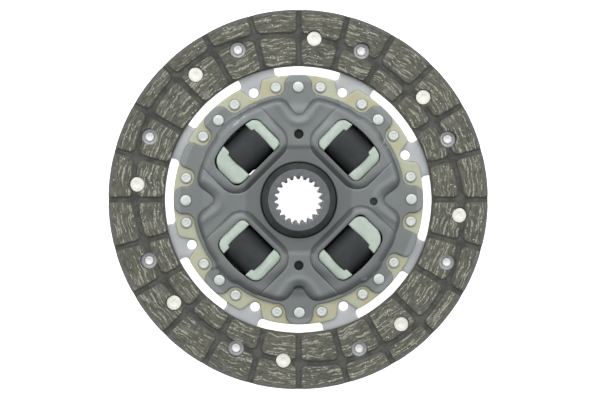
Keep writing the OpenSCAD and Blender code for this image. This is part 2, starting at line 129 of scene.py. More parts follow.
def patch(x, y, reach, sides, corner=0.0):
    """A piece of a ring, between two radii and two directions."""
    r = np.hypot(x, y)
    a = np.degrees(np.arctan2(y, x))
    arc = np.radians(1.0) * r
    radial = np.maximum(r - reach[1], reach[0] - r)
    return both(radial, np.maximum((sides[0] - a) * arc, (a - sides[1]) * arc), corner)


def window(x, y, cw, ccw, corner=WINDOW_CORNER, low=WINDOW_LOW, high=WINDOW_HIGH):
    radial = np.maximum(low - x, np.hypot(x, y) - high)
    return both(radial, np.maximum(y - ccw, -y - cw), corner)


def windows(x, y, room=0.0, **sizes):
    """All four windows, each longer by room at both ends."""
    return nearest(window(*turned(x, y, at), cw + room, ccw + room, **sizes) for at, cw, ccw in WINDOWS)


def smooth(t):
    t = np.clip(t, 0, 1)
    return t * t * (3 - 2 * t)


def rounded(d, wide, power=2.4):
    """A rounded rise from the foot of a wall: steep at the foot, level at the top."""
    return 1 - (1 - np.clip(d / wide, 0, 1)) ** power


def flat(z):
    return lambda x, y: np.full(np.shape(x), float(z))


def creases(f, *levels):
    return [(f, level) for level in levels]


# outlines as closed loops of points


def slope(f, p):
    h = 1e-3
    gx = (f(p[:, 0] + h, p[:, 1]) - f(p[:, 0] - h, p[:, 1])) / (2 * h)
    gy = (f(p[:, 0], p[:, 1] + h) - f(p[:, 0], p[:, 1] - h)) / (2 * h)
    return np.stack([gx, gy], 1)


def onto(f, p, level, rounds=3):
    """The points moved to where f is level."""
    for _ in range(rounds):
        g = slope(f, p)
        gg = np.maximum((g * g).sum(1), 0.05)
        p = p - g * ((f(p[:, 0], p[:, 1]) - level) / gg)[:, None]
    return p


def crossings(inside, across):
    """Links between the grid's edges that an outline crosses, cell by cell.

    An edge along x is numbered i * n + j, and an edge along y is numbered from across on."""
    n = inside.shape[1] + 1
    corners_in = inside[:-1, :-1].astype(int) + inside[1:, :-1] + inside[1:, 1:] + inside[:-1, 1:]
    follows = {}
    for i, j in zip(*np.nonzero((corners_in > 0) & (corners_in < 4))):
        i, j = int(i), int(j)
        corner = [inside[i, j], inside[i + 1, j], inside[i + 1, j + 1], inside[i, j + 1]]
        edge = [i * n + j, across + (i + 1) * n + j, i * n + j + 1, across + i * n + j]
        starts = [k for k in range(4) if corner[k] and not corner[(k + 1) % 4]]
        ends = [k for k in range(4) if not corner[k] and corner[(k + 1) % 4]]
        if len(starts) == 1:
            follows[edge[starts[0]]] = edge[ends[0]]
        else:
            for k in starts:
                follows[edge[k]] = edge[(k - 1) % 4]
    return follows


def outlines(f, box, grid, level=0.0, spacing=0.5):
    """Closed loops where f is level, f's inside on their left, points about spacing apart."""
    x0, x1, y0, y1 = box
    xs = np.arange(x0, x1 + grid, grid)
    ys = np.arange(y0, y1 + grid, grid)
    v = f(*np.meshgrid(xs, ys, indexing="ij")) - level
    v[v == 0] = 1e-9
    n = len(ys) + 1
    across = (len(xs) + 1) * n
    follows = crossings(v < 0, across)

    def place(key):
        along_x = key < across
        i, j = divmod(key % across, n)
        a = v[i, j]
        b = v[i + 1, j] if along_x else v[i, j + 1]
        t = a / (a - b)
        return (xs[i] + t * grid, ys[j]) if along_x else (xs[i], ys[j] + t * grid)

    loops = []
    while follows:
        start, at = follows.popitem()
        line = [start]
        while at != start:
            line.append(at)
            at = follows.pop(at)
        p = onto(f, np.array([place(k) for k in line]), level)
        q = np.vstack([p, p[:1]])
        run = np.concatenate([[0], np.cumsum(np.hypot(*np.diff(q, axis=0).T))])
        if run[-1] < 3 * spacing:
            continue
        count = max(12, int(round(run[-1] / spacing)))
        at = np.arange(count) * run[-1] / count
        p = np.stack([np.interp(at, run, q[:, 0]), np.interp(at, run, q[:, 1])], 1)
        loops.append(onto(f, p, level))
    return loops


# solids


def filling(f, level, extra, box, step):
    """Points spread over f < level in a loose triangle grid, none of them close to the extra lines."""
    x0, x1, y0, y1 = box
    columns = np.arange(x0, x1, step)
    rows = np.arange(y0, y1, step * 0.866)
    g = np.array([(x + (k % 2) * step / 2, y) for k, y in enumerate(rows) for x in columns])
    g = g + rng.uniform(-0.03, 0.03, g.shape) * step
    g = g[f(g[:, 0], g[:, 1]) < level - 0.45 * step]
    if extra:
        cell = step * 0.5
        taken = set(map(tuple, np.floor(np.vstack(extra) / cell).astype(int)))
        near = np.floor(g / cell).astype(int)
        g = g[[tuple(k) not in taken for k in near]]
    return g


def triangles(f, level, rings, extra, box, step):
    """Triangles over f < level: the rings bound them, and the extra lines are kept as edges."""
    keeps = [f(p[:, 0], p[:, 1]) < level - 0.12 for p in extra]
    points = list(rings) + [p[keep] for p, keep in zip(extra, keeps)]
    points.append(filling(f, level, extra, box, step))
    flat_points = np.vstack(points)
    edges = []
    at = 0
    for p in rings:
        n = len(p)
        edges += [(at + k, at + (k + 1) % n) for k in range(n)]
        at += n
    for keep in keeps:
        idx = np.cumsum(keep) - 1 + at
        n = len(keep)
        edges += [(int(idx[k]), int(idx[(k + 1) % n])) for k in range(n) if keep[k] and keep[(k + 1) % n]]
        at += int(keep.sum())
    corners = [Vector(p) for p in flat_points.tolist()]
    out, _, faces, origins, _, _ = delaunay_2d_cdt(corners, edges, [], 0, 1e-5, True)
    xy = np.array([tuple(p) for p in out])
    back = np.full(len(flat_points), -1)
    for o, ids in enumerate(origins):
        for i in ids:
            back[i] = o
    tri = np.array([t for t in faces if len(t) == 3])
    mid = xy[tri].mean(1)
    tri = tri[f(mid[:, 0], mid[:, 1]) < level]
    a, b, c = xy[tri[:, 0]], xy[tri[:, 1]], xy[tri[:, 2]]
    area = (b[:, 0] - a[:, 0]) * (c[:, 1] - a[:, 1]) - (b[:, 1] - a[:, 1]) * (c[:, 0] - a[:, 0])
    tri[area < 0] = tri[area < 0][:, ::-1]
    return xy, tri, back


def plate(f, top, bottom, box, grid=0.5, step=1.0, edge=0.2, seg=2, spacing=0.5,
          levels=(), rough_step=None, under=()):
    """A closed sheet over f < 0 between the heights top and bottom, with rounded edges.

    levels, under: pairs (function, level) whose outlines are kept as creases in the top and in the
    underside. step and rough_step: how far apart the points of the top and of the underside lie."""
    loops = outlines(f, box, grid, 0.0, spacing)
    upper_lines, lower_lines = [], []
    for lines, pairs in ((upper_lines, levels), (lower_lines, under)):
        for g, level in pairs:
            lines += outlines(g, box, grid, level, spacing * 1.3)
    verts, faces = [], []
    total = 0

    def ring(p, z):
        nonlocal total
        verts.append(np.column_stack([p, z]))
        total += len(p)
        return np.arange(total - len(p), total)

    def strip(a, b):
        n = len(a)
        for k in range(n):
            faces.append((a[k], a[(k + 1) % n], b[(k + 1) % n], b[k]))

    normals = []
    for p in loops:
        g = slope(f, p)
        normals.append(g / np.maximum(np.hypot(*g.T), 1e-6)[:, None])
    inner = [p - n * edge for p, n in zip(loops, normals)]
    rims = {}
    for side, height, gap in ((1, top, step), (-1, bottom, rough_step or step)):
        xy, tri, back = triangles(f, -edge, inner, upper_lines if side > 0 else lower_lines, box, gap)
        used = np.unique(tri)
        index = np.full(len(xy), -1)
        index[used] = ring(xy[used], height(xy[used, 0], xy[used, 1]))
        for t in index[tri]:
            faces.append(tuple(t) if side > 0 else tuple(t[::-1]))
        at = 0
        rims[side] = []
        for p, n, q in zip(loops, normals, inner):
            last = index[back[at : at + len(p)]]
            missing = last < 0
            if missing.any():
                last[missing] = ring(q[missing], height(q[missing, 0], q[missing, 1]))
            at += len(p)
            for j in range(seg - 1, -1, -1):
                phi = math.pi / 2 * j / seg
                q = p - n * edge * (1 - math.cos(phi))
                here = ring(q, height(q[:, 0], q[:, 1]) - side * edge * (1 - math.sin(phi)))
                if side > 0:
                    strip(here, last)
                else:
                    strip(last, here)
                last = here
            rims[side].append(last)
    for upper, lower in zip(rims[1], rims[-1]):
        strip(lower, upper)
    return np.vstack(verts), faces


def thick(f, t):
    """The underside of a sheet whose top is f: t below it, measured square to the sheet."""
    def low(x, y):
        h = 0.02
        gx = (f(x + h, y) - f(x - h, y)) / (2 * h)
        gy = (f(x, y + h) - f(x, y - h)) / (2 * h)
        return f(x, y) - t * np.minimum(np.sqrt(1 + gx * gx + gy * gy), 2.4)
    return low


def lathe(profile, x=0.0, y=0.0, n=48, wobble=0.0):
    """A turned solid: its profile is (r, z) from the axis at the top to the axis at the bottom."""
    a = np.arange(n) * 2 * math.pi / n + rng.uniform(0, 1)
    rings, faces = [], []
    for r, z in profile:
        if r < 1e-6:
            rings.append(np.array([[x, y, z]]))
        else:
            rr = r * (1 + wobble * np.sin(a * 2 + 1.3) + wobble * 0.6 * np.sin(a * 3 + 0.4))
            rings.append(np.column_stack([x + rr * np.cos(a), y + rr * np.sin(a), np.full(n, z)]))
    starts = np.concatenate([[0], np.cumsum([len(ring) for ring in rings])])
    for i in range(len(rings) - 1):
        p, q = starts[i], starts[i + 1]
        for k in range(n):
            m = (k + 1) % n
            if len(rings[i]) == 1:
                faces.append((p, q + k, q + m))
            elif len(rings[i + 1]) == 1:
                faces.append((p + m, p + k, q))
            else:
                faces.append((p + k, q + k, q + m, p + m))
    return np.vstack(rings), faces


def rivets(profile, radius, start, count, n, wobble=0.0):
    """Equal turned pieces at even steps round the axis."""
    return [lathe(profile, *polar(radius, start + 360 / count * k), n=n, wobble=wobble) for k in range(count)]


def mirrored(part):
    """The same part seen in the plane z = 0."""
    v, f = part
    return v * np.array([1, 1, -1]), [tuple(reversed(t)) for t in f]


def spun(part, deg):
    v, f = part
    c, s = math.cos(math.radians(deg)), math.sin(math.radians(deg))
    return np.column_stack([v[:, 0] * c - v[:, 1] * s, v[:, 0] * s + v[:, 1] * c, v[:, 2]]), f


def piece(name, parts, material, body, nodes, sharp=38):
    """One object of the scene, made of parts in millimetres; edges sharper than sharp degrees stay sharp."""
    verts, faces, at = [], [], 0
    for v, f in parts:
        verts.append(v)
        faces += [tuple(int(i) + at for i in t) for t in f]
        at += len(v)
    mesh = bpy.data.meshes.new(name)
    mesh.from_pydata((np.vstack(verts) * MM).tolist(), [], faces)
    mesh.validate()
    mesh.shade_smooth()
    mesh.set_sharp_from_angle(angle=math.radians(sharp))
    mesh.materials.append(material)
    obj = bpy.data.objects.new(name, mesh)
    bpy.context.scene.collection.objects.link(obj)
    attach(obj, body)
    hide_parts(*nodes)
    return obj


# colours, as red, green and blue from 0 to 255

FACING = {"ground": (100, 101, 92), "pale ground": (112, 111, 100), "gap": (78, 80, 73),
          "thread": (126, 125, 111), "yarn": (176, 177, 162), "speck": (232, 233, 228),
          "smudge": (130, 132, 127), "groove": (72, 72, 68), "pale groove": (93, 94, 88),
          "pad side": (101, 102, 97), "rim": (112, 114, 117)}
COVER = {"steel": (126, 131, 130), "dark steel": (119, 123, 125), "grain": (100, 104, 104),
         "middle": (101, 104, 103), "ears": (140, 145, 145), "scuff": (196, 199, 198), "dark_marks_and_shade": (60, 61, 60)}
HUB = {"face": (113, 117, 119), "dark face": (105, 108, 110), "cone": (98, 102, 102),
       "dark cone": (88, 92, 92), "flange": (34, 34, 34), "dark flange": (26, 26, 26),
       "less shaded flange": (66, 70, 70), "lines": (92, 94, 94)}
RUBBER = {"top": (63, 66, 68), "dark top": (57, 60, 61), "side": (24, 25, 26)}
# painted shade inside the disc plate's dish
DISH_SHADE = (34, 34, 33)

# where the looks change on a piece, each change from the first millimetre given to the second

PAD_SIDE_Z = (3.25, 3.7)
PAD_TOP_Z = (3.86, 4.06)
RIM_BAND_R = (96.0, 98.0)
YARN_END_R = (99.0, 98.0)
DISH_FLOOR_Z = (-7.5, -7.2)
DISH_INSIDE_R = (50.6, 49.8)
COVER_MIDDLE_XY = (29.3, 26.8)
COVER_EARS_R = (61.6, 63.2)
HUB_CONE_R = (15.95, 16.1)
FLANGE_SHADE_R = (19.3, 19.6)
FLANGE_SHADE_Z = (4.5, 4.0)
LESS_SHADED_FLANGE_X = (34.0, 37.0)
WEB_SHADE_BACK_Z = (-7.3, -7.1)
WEB_SHADE_FRONT_Z = (-4.7, -4.9)
RUBBER_MIDDLE_R = 37.9
RUBBER_SHADE_OFF = (3.5, 10.0)

# light worn places and dark places of the cover plate: x, y, angle, half length, half width, and how much of
# the noise counts; the dark place in the bottom V is a painted shadow
LIGHT_MARKS = [(-32.9, 40.0, 45, 3.4, 0.9, 0.42), (-29.0, 43.5, 40, 2.6, 0.7, 0.48),
               (45.2, 31.0, 70, 2.2, 0.8, 0.42), (46.6, 27.6, 35, 1.2, 0.9, 0.45),
               (34.6, -41.6, 10, 2.4, 1.0, 0.46), (48.5, 34.0, 20, 2.2, 1.1, 0.5)]
DARK_MARKS = [(-44.6, -36.2, 20, 3.4, 1.2, 0.42), (-41.8, -39.2, 60, 2.2, 0.8, 0.48),
              (0, -46.2, 0, 4.2, 1.9, 0.25)]

# creases and corners get painted shade: how far it reaches, and what share of the light is left
CREASE_SHADE = (0.8, 0.45)
TINT_SHARE = 0.6


def linear(c):
    """A colour from 0 to 255 as the shader wants it."""
    return tuple((v / 255 / 12.92 if v <= 10 else ((v / 255 + 0.055) / 1.055) ** 2.4) for v in c) + (1.0,)


class Look:
    """A material: one principled shader, and nodes that work in millimetres on the piece."""

    def __init__(self, name, rough=0.5, metal=0.0, spec=0.5):
        self.m = bpy.data.materials.new(name)
        self.m.use_nodes = True
        self.t = self.m.node_tree
        self.t.nodes.clear()
        out = self.t.nodes.new("ShaderNodeOutputMaterial")
        self.b = self.t.nodes.new("ShaderNodeBsdfPrincipled")
        self.t.links.new(self.b.outputs[0], out.inputs[0])
        self.b.inputs["Roughness"].default_value = rough
        self.b.inputs["Metallic"].default_value = metal
        self.b.inputs["Specular IOR Level"].default_value = spec
        at = self.t.nodes.new("ShaderNodeTexCoord")
        scale = self.t.nodes.new("ShaderNodeVectorMath")
        scale.operation = "SCALE"
        self.t.links.new(at.outputs["Object"], scale.inputs[0])
        scale.inputs["Scale"].default_value = 1000.0
        self.at = scale.outputs[0]
        xyz = self.t.nodes.new("ShaderNodeSeparateXYZ")
        self.t.links.new(self.at, xyz.inputs[0])
        self.x, self.y, self.z = xyz.outputs

    def put(self, socket, value):
        if isinstance(value, bpy.types.NodeSocket):
            self.t.links.new(value, socket)
        else:
            socket.default_value = value

    def math(self, op, a, b=0.0):
        n = self.t.nodes.new("ShaderNodeMath")
        n.operation = op
        self.put(n.inputs[0], a)
        self.put(n.inputs[1], b)
        return n.outputs[0]

    def plus(self, a, b):
        return self.math("ADD", a, b)

    def minus(self, a, b):
        return self.math("SUBTRACT", a, b)

    def times(self, a, b):
        return self.math("MULTIPLY", a, b)

    def size(self, a):
        return self.math("ABSOLUTE", a)

    def length(self, a, b):
        return self.math("SQRT", self.plus(self.times(a, a), self.times(b, b)))

    def polar(self):
        """Radius and direction about the disc's axis."""
        return self.length(self.x, self.y), self.math("ARCTAN2", self.y, self.x)

    def vector(self, x, y, z=0.0):
        n = self.t.nodes.new("ShaderNodeCombineXYZ")
        for s, v in zip(n.inputs, (x, y, z)):
            self.put(s, v)
        return n.outputs[0]

    def noise(self, at=None, scale=1.0, detail=3.0, rough=0.5, warp=0.0):
        n = self.t.nodes.new("ShaderNodeTexNoise")
        self.put(n.inputs["Vector"], at or self.at)
        for key, v in (("Scale", scale), ("Detail", detail), ("Roughness", rough), ("Distortion", warp)):
            self.put(n.inputs[key], v)
        return n.outputs[0]

    def cells(self, scale):
        """Distance to the nearest of points strewn over the piece."""
        n = self.t.nodes.new("ShaderNodeTexVoronoi")
        self.put(n.inputs["Vector"], self.at)
        self.put(n.inputs["Scale"], scale)
        return n.outputs["Distance"]

    def span(self, value, a, b, lo=0.0, hi=1.0, soft=True):
        """lo at a and below, hi at b and above, where a may be the larger one."""
        n = self.t.nodes.new("ShaderNodeMapRange")
        n.interpolation_type = "SMOOTHSTEP" if soft else "LINEAR"
        for key, v in (("Value", value), ("From Min", a), ("From Max", b), ("To Min", lo), ("To Max", hi)):
            self.put(n.inputs[key], v)
        return n.outputs["Result"]

    def mix(self, share, a, b, kind="MIX"):
        n = self.t.nodes.new("ShaderNodeMix")
        n.data_type = "RGBA"
        n.blend_type = kind
        self.put(n.inputs["Factor"], share)
        self.put(n.inputs[6], a)
        self.put(n.inputs[7], b)
        return n.outputs[2]

    def crease_shade(self, reach, dark):
        """Painted shade: one in the open, dark in creases and under edges that are within reach."""
        n = self.t.nodes.new("ShaderNodeAmbientOcclusion")
        n.samples = 6
        n.inputs["Distance"].default_value = reach * MM
        return self.span(n.outputs["AO"], 0.45, 0.95, dark, 1.0, False)

    def darken(self, c, share):
        grey = self.t.nodes.new("ShaderNodeCombineColor")
        for s in grey.inputs:
            self.put(s, share)
        return self.mix(1.0, c, grey.outputs[0], "MULTIPLY")

    def mark(self, x, y, angle, long, wide, grain, level):
        """A worn streak round a place on the plate, broken up by noise."""
        ca, sa = math.cos(math.radians(angle)), math.sin(math.radians(angle))
        dx, dy = self.minus(self.x, x), self.minus(self.y, y)
        u = self.plus(self.times(dx, ca / long), self.times(dy, sa / long))
        v = self.plus(self.times(dx, -sa / wide), self.times(dy, ca / wide))
        broken = self.span(self.noise(scale=grain), level - 0.08, level + 0.1)
        return self.times(self.span(self.length(u, v), 1.0, 0.3), broken)

    def bump(self, height, strength=0.3, distance=0.0002):
        n = self.t.nodes.new("ShaderNodeBump")
        n.inputs["Strength"].default_value = strength
        n.inputs["Distance"].default_value = distance
        self.put(n.inputs["Height"], height)
        self.t.links.new(n.outputs[0], self.b.inputs["Normal"])

    def colour(self, c):
        self.put(self.b.inputs["Base Color"], c)

    def rough(self, r):
        self.put(self.b.inputs["Roughness"], r)


YARN_R = 85.0
# rows of bright yarn: their pitch, how far they sway, how much of a row shows, and a seed
YARN_ROWS = [(2.3, 1.0, 0.49, 3.0), (3.4, 0.8, 0.51, 23.0), (1.7, 1.2, 0.53, 63.0)]


def facing_look(name):
    """Yarn pressed in rows round the pads, plain resin in the grooves, a rubbed band at the rim."""
    k = Look(name, 0.85, 0.0, 0.2)
    r, a = k.polar()
    run = k.times(a, YARN_R)

    def stretched(across, along, seed, detail=2.0, rough=0.5, warp=0.0):
        """Noise with its own scale round the disc."""
        return k.noise(k.vector(across, k.times(run, along), seed), 1.0, detail, rough, warp)

    sway = k.times(k.minus(stretched(k.times(r, 0.06), 0.10, 5.0), 0.5), 5.0)
    wide = stretched(k.times(r, 0.05), 0.045, 40.0)
    yarn = stretched(k.times(k.plus(r, sway), 1.5), 0.26, 9.0, 3.0, 0.65, 0.3)
    fine = k.noise(scale=3.2, detail=2.0, rough=0.6)
    base = k.mix(k.span(wide, 0.38, 0.62), linear(FACING["ground"]), linear(FACING["pale ground"]))
    base = k.mix(k.span(yarn, 0.56, 0.40, 0.0, 0.75), base, linear(FACING["gap"]))
    base = k.mix(k.span(yarn, 0.52, 0.66, 0.0, 0.6), base, linear(FACING["thread"]))
    for pitch, lean, level, seed in YARN_ROWS:
        phase = k.math("DIVIDE", k.plus(r, k.times(sway, lean)), pitch)
        wave = k.math("SINE", k.times(phase, 2 * math.pi))
        row = k.times(k.math("FLOOR", k.plus(phase, 0.25)), 5.7)
        part = stretched(row, 0.10, seed, rough=0.6)
        shade = stretched(row, 0.9, seed + 7.0, rough=0.6)
        thin = k.plus(wave, k.times(k.minus(shade, 0.5), 0.7))
        line = k.times(k.span(thin, 0.55, 1.0, 0.0, 0.9), k.span(part, level, level + 0.07))
        line = k.times(line, k.span(shade, 0.35, 0.6, 0.35, 1.0))
        base = k.mix(line, base, linear(FACING["yarn"]))
    smudge = k.span(k.noise(scale=0.12, detail=4.0, rough=0.7, warp=0.6), 0.56, 0.72, 0.0, 0.55)
    base = k.mix(smudge, base, linear(FACING["smudge"]))
    speck = k.span(k.cells(0.42), 0.15, 0.07)
    speck = k.times(speck, k.span(k.noise(scale=0.16, detail=2.0), 0.47, 0.53))
    base = k.mix(speck, base, linear(FACING["speck"]))
    z = k.size(k.z)
    raised = k.span(z, *PAD_TOP_Z)
    cloud = k.noise(scale=0.22, detail=4.0, rough=0.65)
    low = k.mix(k.span(cloud, 0.36, 0.64), linear(FACING["groove"]), linear(FACING["pale groove"]))
    low = k.mix(k.span(z, *PAD_SIDE_Z), low, linear(FACING["pad side"]))
    band = k.mix(k.span(k.noise(scale=1.4), 0.42, 0.6), linear(FACING["rim"]), linear(FACING["ground"]))
    low = k.mix(k.times(raised, k.span(r, *RIM_BAND_R)), low, band)
    c = k.mix(k.times(raised, k.span(r, *YARN_END_R)), low, base)
    # painted shade in the facing's creases and corners
    k.colour(k.darken(c, k.crease_shade(0.7, 0.72)))
    k.bump(k.times(k.plus(yarn, k.times(fine, 0.35)), raised), 0.5, 0.0006)
    k.rough(k.span(fine, 0.3, 0.7, 0.92, 0.75))
    return k.m


def painted_dish_shade(k, c):
    """The inside of the disc plate's dish is painted nearly black, as shade for the narrow gaps that look
    into it.
    """
    r, _ = k.polar()
    inside = k.times(k.span(k.z, *DISH_FLOOR_Z), k.span(r, *DISH_INSIDE_R))
    return k.mix(inside, c, linear(DISH_SHADE))


def steel_look(name, base, dark, metal=0.85, rough=0.35, tint=None, grain=0.08, spots=0.25, size=0.08,
               crease_shade=CREASE_SHADE, last=None):
    """Sheet or turned steel with cloudy darker spots, a tint in places, and painted shade in creases."""
    k = Look(name, rough, metal, 0.5)
    broad = k.noise(scale=size, detail=3.0, rough=0.55)
    fine = k.noise(scale=2.6, detail=3.0, rough=0.6)
    c = k.mix(k.times(k.span(broad, 0.35, 0.68), spots * 2), linear(base), linear(dark))
    if tint:
        aside = k.vector(k.plus(k.x, 40.0), k.plus(k.y, -17.0), k.z)
        wide = k.noise(aside, size * 1.3, 2.0, 0.5)
        c = k.mix(k.times(k.span(wide, 0.48, 0.66), TINT_SHARE), c, linear(tint))
    c = k.mix(k.span(fine, 0.3, 0.75, 0.0, 0.22), c, linear(tuple(v * 0.72 for v in base)))
    c = last(k, c) if last else c
    k.colour(k.darken(c, k.crease_shade(*crease_shade)))
    k.rough(k.span(fine, 0.3, 0.7, rough - 0.06, rough + 0.09))
    k.bump(fine, grain, 0.0001)
    return k.m


def cover_look(name):
    """Grey pressed steel: darker in the middle, scuffed where it was handled, dark places with a painted
    shadow in the bottom V, and painted shade in the creases.
    """
    k = Look(name, 0.42, 0.55, 0.5)
    broad = k.noise(scale=0.07, detail=3.0, rough=0.55)
    fine = k.noise(scale=2.6, detail=3.0, rough=0.6)
    c = k.mix(k.span(broad, 0.35, 0.68, 0.0, 0.7), linear(COVER["steel"]), linear(COVER["dark steel"]))
    c = k.mix(k.span(fine, 0.3, 0.75, 0.0, 0.2), c, linear(COVER["grain"]))
    middle = k.span(k.math("MAXIMUM", k.size(k.x), k.size(k.y)), *COVER_MIDDLE_XY)
    c = k.mix(k.times(middle, 0.6), c, linear(COVER["middle"]))
    r, _ = k.polar()
    c = k.mix(k.span(r, *COVER_EARS_R, 0.0, 0.85), c, linear(COVER["ears"]))
    for x, y, angle, long, wide, level in LIGHT_MARKS:
        c = k.mix(k.times(k.mark(x, y, angle, long, wide, 1.2, level), 0.55), c, linear(COVER["scuff"]))
    # dark places; the one in the bottom V is a painted shadow
    for x, y, angle, long, wide, level in DARK_MARKS:
        c = k.mix(k.times(k.mark(x, y, angle, long, wide, 0.6, level), 0.75), c, linear(COVER["dark_marks_and_shade"]))
    k.colour(k.darken(c, k.crease_shade(1.1, 0.55)))
    k.rough(k.span(fine, 0.3, 0.7, 0.38, 0.5))
    k.bump(fine, 0.07, 0.0001)
    return k.m


def hub_look(name):
    """Turned steel: a light front face, a darker cone, and a flange inside the plates painted dark as shade,
    less so under the hole at +x.
    """
    k = Look(name, 0.36, 0.7, 0.5)
    r, _ = k.polar()
    lines = k.noise(k.vector(k.times(r, 6.0), 0.0, k.times(k.z, 6.0)), 1.0, 2.0, 0.5)
    cloud = k.noise(scale=0.35, detail=3.0)
    face = k.mix(k.span(cloud, 0.35, 0.7), linear(HUB["face"]), linear(HUB["dark face"]))
    cone = k.mix(k.span(cloud, 0.35, 0.7), linear(HUB["cone"]), linear(HUB["dark cone"]))
    # painted shade: the flange between the plates is nearly black, less so under the cover's hole at +x
    flange = k.mix(cloud, linear(HUB["flange"]), linear(HUB["dark flange"]))
    flange = k.mix(k.span(k.x, *LESS_SHADED_FLANGE_X), flange, linear(HUB["less shaded flange"]))
    c = k.mix(k.span(r, *HUB_CONE_R), face, cone)
    inside = k.times(k.span(r, *FLANGE_SHADE_R), k.span(k.size(k.z), *FLANGE_SHADE_Z))
    c = k.mix(inside, c, flange)
    k.colour(k.mix(k.span(lines, 0.4, 0.7, 0.0, 0.25), c, linear(HUB["lines"])))
    k.rough(k.span(lines, 0.3, 0.7, 0.31, 0.46))
    k.bump(lines, 0.1, 0.00008)
    return k.m


def soft_look(name, base, dark, rough=0.5, spec=0.4, size=0.4, grain=0.08, shade=None):
    """Moulded plastic; shade is painted shade in its nooks, and the band where the webs are is painted nearly
    black as shade.
    """
    k = Look(name, rough, 0.0, spec)
    cloud = k.noise(scale=size, detail=3.0, rough=0.5)
    fine = k.noise(scale=5.0, detail=2.0)
    c = k.mix(k.span(cloud, 0.3, 0.7), linear(base), linear(dark))
    if shade:
        # painted shade: in the band of the webs the seat plastic is painted nearly black
        deep = k.times(k.span(k.z, *WEB_SHADE_BACK_Z), k.span(k.z, *WEB_SHADE_FRONT_Z))
        c = k.mix(k.times(deep, 0.95), k.darken(c, k.crease_shade(*shade)), linear(COVER["dark_marks_and_shade"]))
    k.colour(c)
    k.rough(k.span(fine, 0.3, 0.7, rough - 0.05, rough + 0.08))
    k.bump(fine, grain, 0.00008)
    return k.m


def rubber_look(name):
    """Black rubber, with painted shade where the cylinder curves away towards the window's long edges."""
    k = Look(name, 0.7, 0.0, 0.2)
    across = k.times(k.plus(k.size(k.x), k.size(k.y)), math.sqrt(0.5))
    off = k.size(k.minus(across, RUBBER_MIDDLE_R))
    cloud = k.noise(scale=0.15, detail=3.0)
    fine = k.noise(scale=5.0, detail=2.0)
    c = k.mix(k.span(cloud, 0.3, 0.7), linear(RUBBER["top"]), linear(RUBBER["dark top"]))
    # painted shade along the rubber's long sides
    k.colour(k.mix(k.span(off, *RUBBER_SHADE_OFF, 0.0, 0.85), c, linear(RUBBER["side"])))
    k.rough(k.span(fine, 0.3, 0.7, 0.62, 0.8))
    k.bump(fine, 0.05, 0.00008)
    return k.m


M_FACING = facing_look("facing_yarn")
M_HEAD = steel_look("facing_rivet_steel", (250, 249, 240), (232, 230, 218), metal=0.3, rough=0.5,
                    spots=0.3, size=0.5)
M_SEGMENT = steel_look("cushion_steel", (190, 194, 195), (175, 178, 181), metal=0.5, rough=0.42,
                       tint=(181, 183, 187), grain=0.06, spots=0.35, size=0.06)
M_DISC = steel_look("disc_plate_steel", (190, 193, 171), (178, 181, 156), metal=0.35, rough=0.45,
                    tint=(188, 178, 138), spots=0.3, size=0.055, last=painted_dish_shade)
M_COVER = cover_look("cover_plate_steel")
# rear rivets' tails: a whiter, less metallic copy of the rivet steel, painted light for tails deep in their
# holes, with strong painted shade round them
M_TAIL_PAINTED_LIGHT = steel_look("rear_rivet_painted_light", (255, 255, 255), (252, 252, 250), metal=0.1, rough=0.45,
                    spots=0.3, size=0.5, crease_shade=(0.6, 0.12))
M_RIVET = steel_look("plate_rivet_steel", (219, 224, 221), (200, 206, 203), metal=0.5, rough=0.42,
                     grain=0.14, spots=0.4, size=0.5)
M_HUB = hub_look("hub_steel")
M_RUBBER = rubber_look("rubber")
M_SEAT = soft_look("seat_plastic", (192, 205, 193), (181, 194, 183), spec=0.35, size=0.2, grain=0.05,
                   shade=(3.0, 0.45))
M_RING = steel_look("ring_steel", (120, 120, 118), (96, 96, 96), metal=0.8, rough=0.4)
M_BUSH = soft_look("friction_plastic", (28, 28, 28), (22, 22, 22), rough=0.6)

# facings

FACING_R = 100.0
FACING_BORE_R = 71.0
FACING_BACK = 0.6
FACING_BOX = (-101, 101, -101, 101)
HEAD_BORE_R = 4.15
TAIL_BORE_R = 4.3
GROOVE_FLOOR = 3.2
GROOVE_HALF = 1.05
GROOVE_PITCH = 15
PAD_RISE = 0.9
PAD_SIDE = 1.1
PAD_CORNER = 3.0
PADS_REACH = (70.4, 101.0)
OVAL_AT = 135
OVAL_LONG = 90.8
OVAL_SHORT = 82.1


def facing_flat(x, y):
    r = np.hypot(x, y)
    f = np.maximum(r - FACING_R, FACING_BORE_R - r)
    for start, hole in ((HEAD_AT, HEAD_BORE_R), (TAIL_AT, TAIL_BORE_R)):
        f = drilled(f, folded(x, y, start, EIGHTH), RIVET_R, hole)
    return f


def pads(x, y):
    """The raised pads between the radial grooves, on both sides of the oval groove."""
    r = np.hypot(x, y)
    _, v = folded(x, y, 0, GROOVE_PITCH)
    u, w = turned(x, y, OVAL_AT)
    a = np.arctan2(w, u)
    oval = OVAL_LONG * OVAL_SHORT / np.sqrt((OVAL_SHORT * np.cos(a)) ** 2 + (OVAL_LONG * np.sin(a)) ** 2)
    reach = np.maximum(r - PADS_REACH[1], PADS_REACH[0] - r)
    radial = np.maximum(GROOVE_HALF - np.abs(r - oval), reach)
    return both(GROOVE_HALF - np.abs(v), radial, PAD_CORNER)


def facing_top(x, y):
    return GROOVE_FLOOR + PAD_RISE * rounded(-pads(x, y), PAD_SIDE, 2.3)


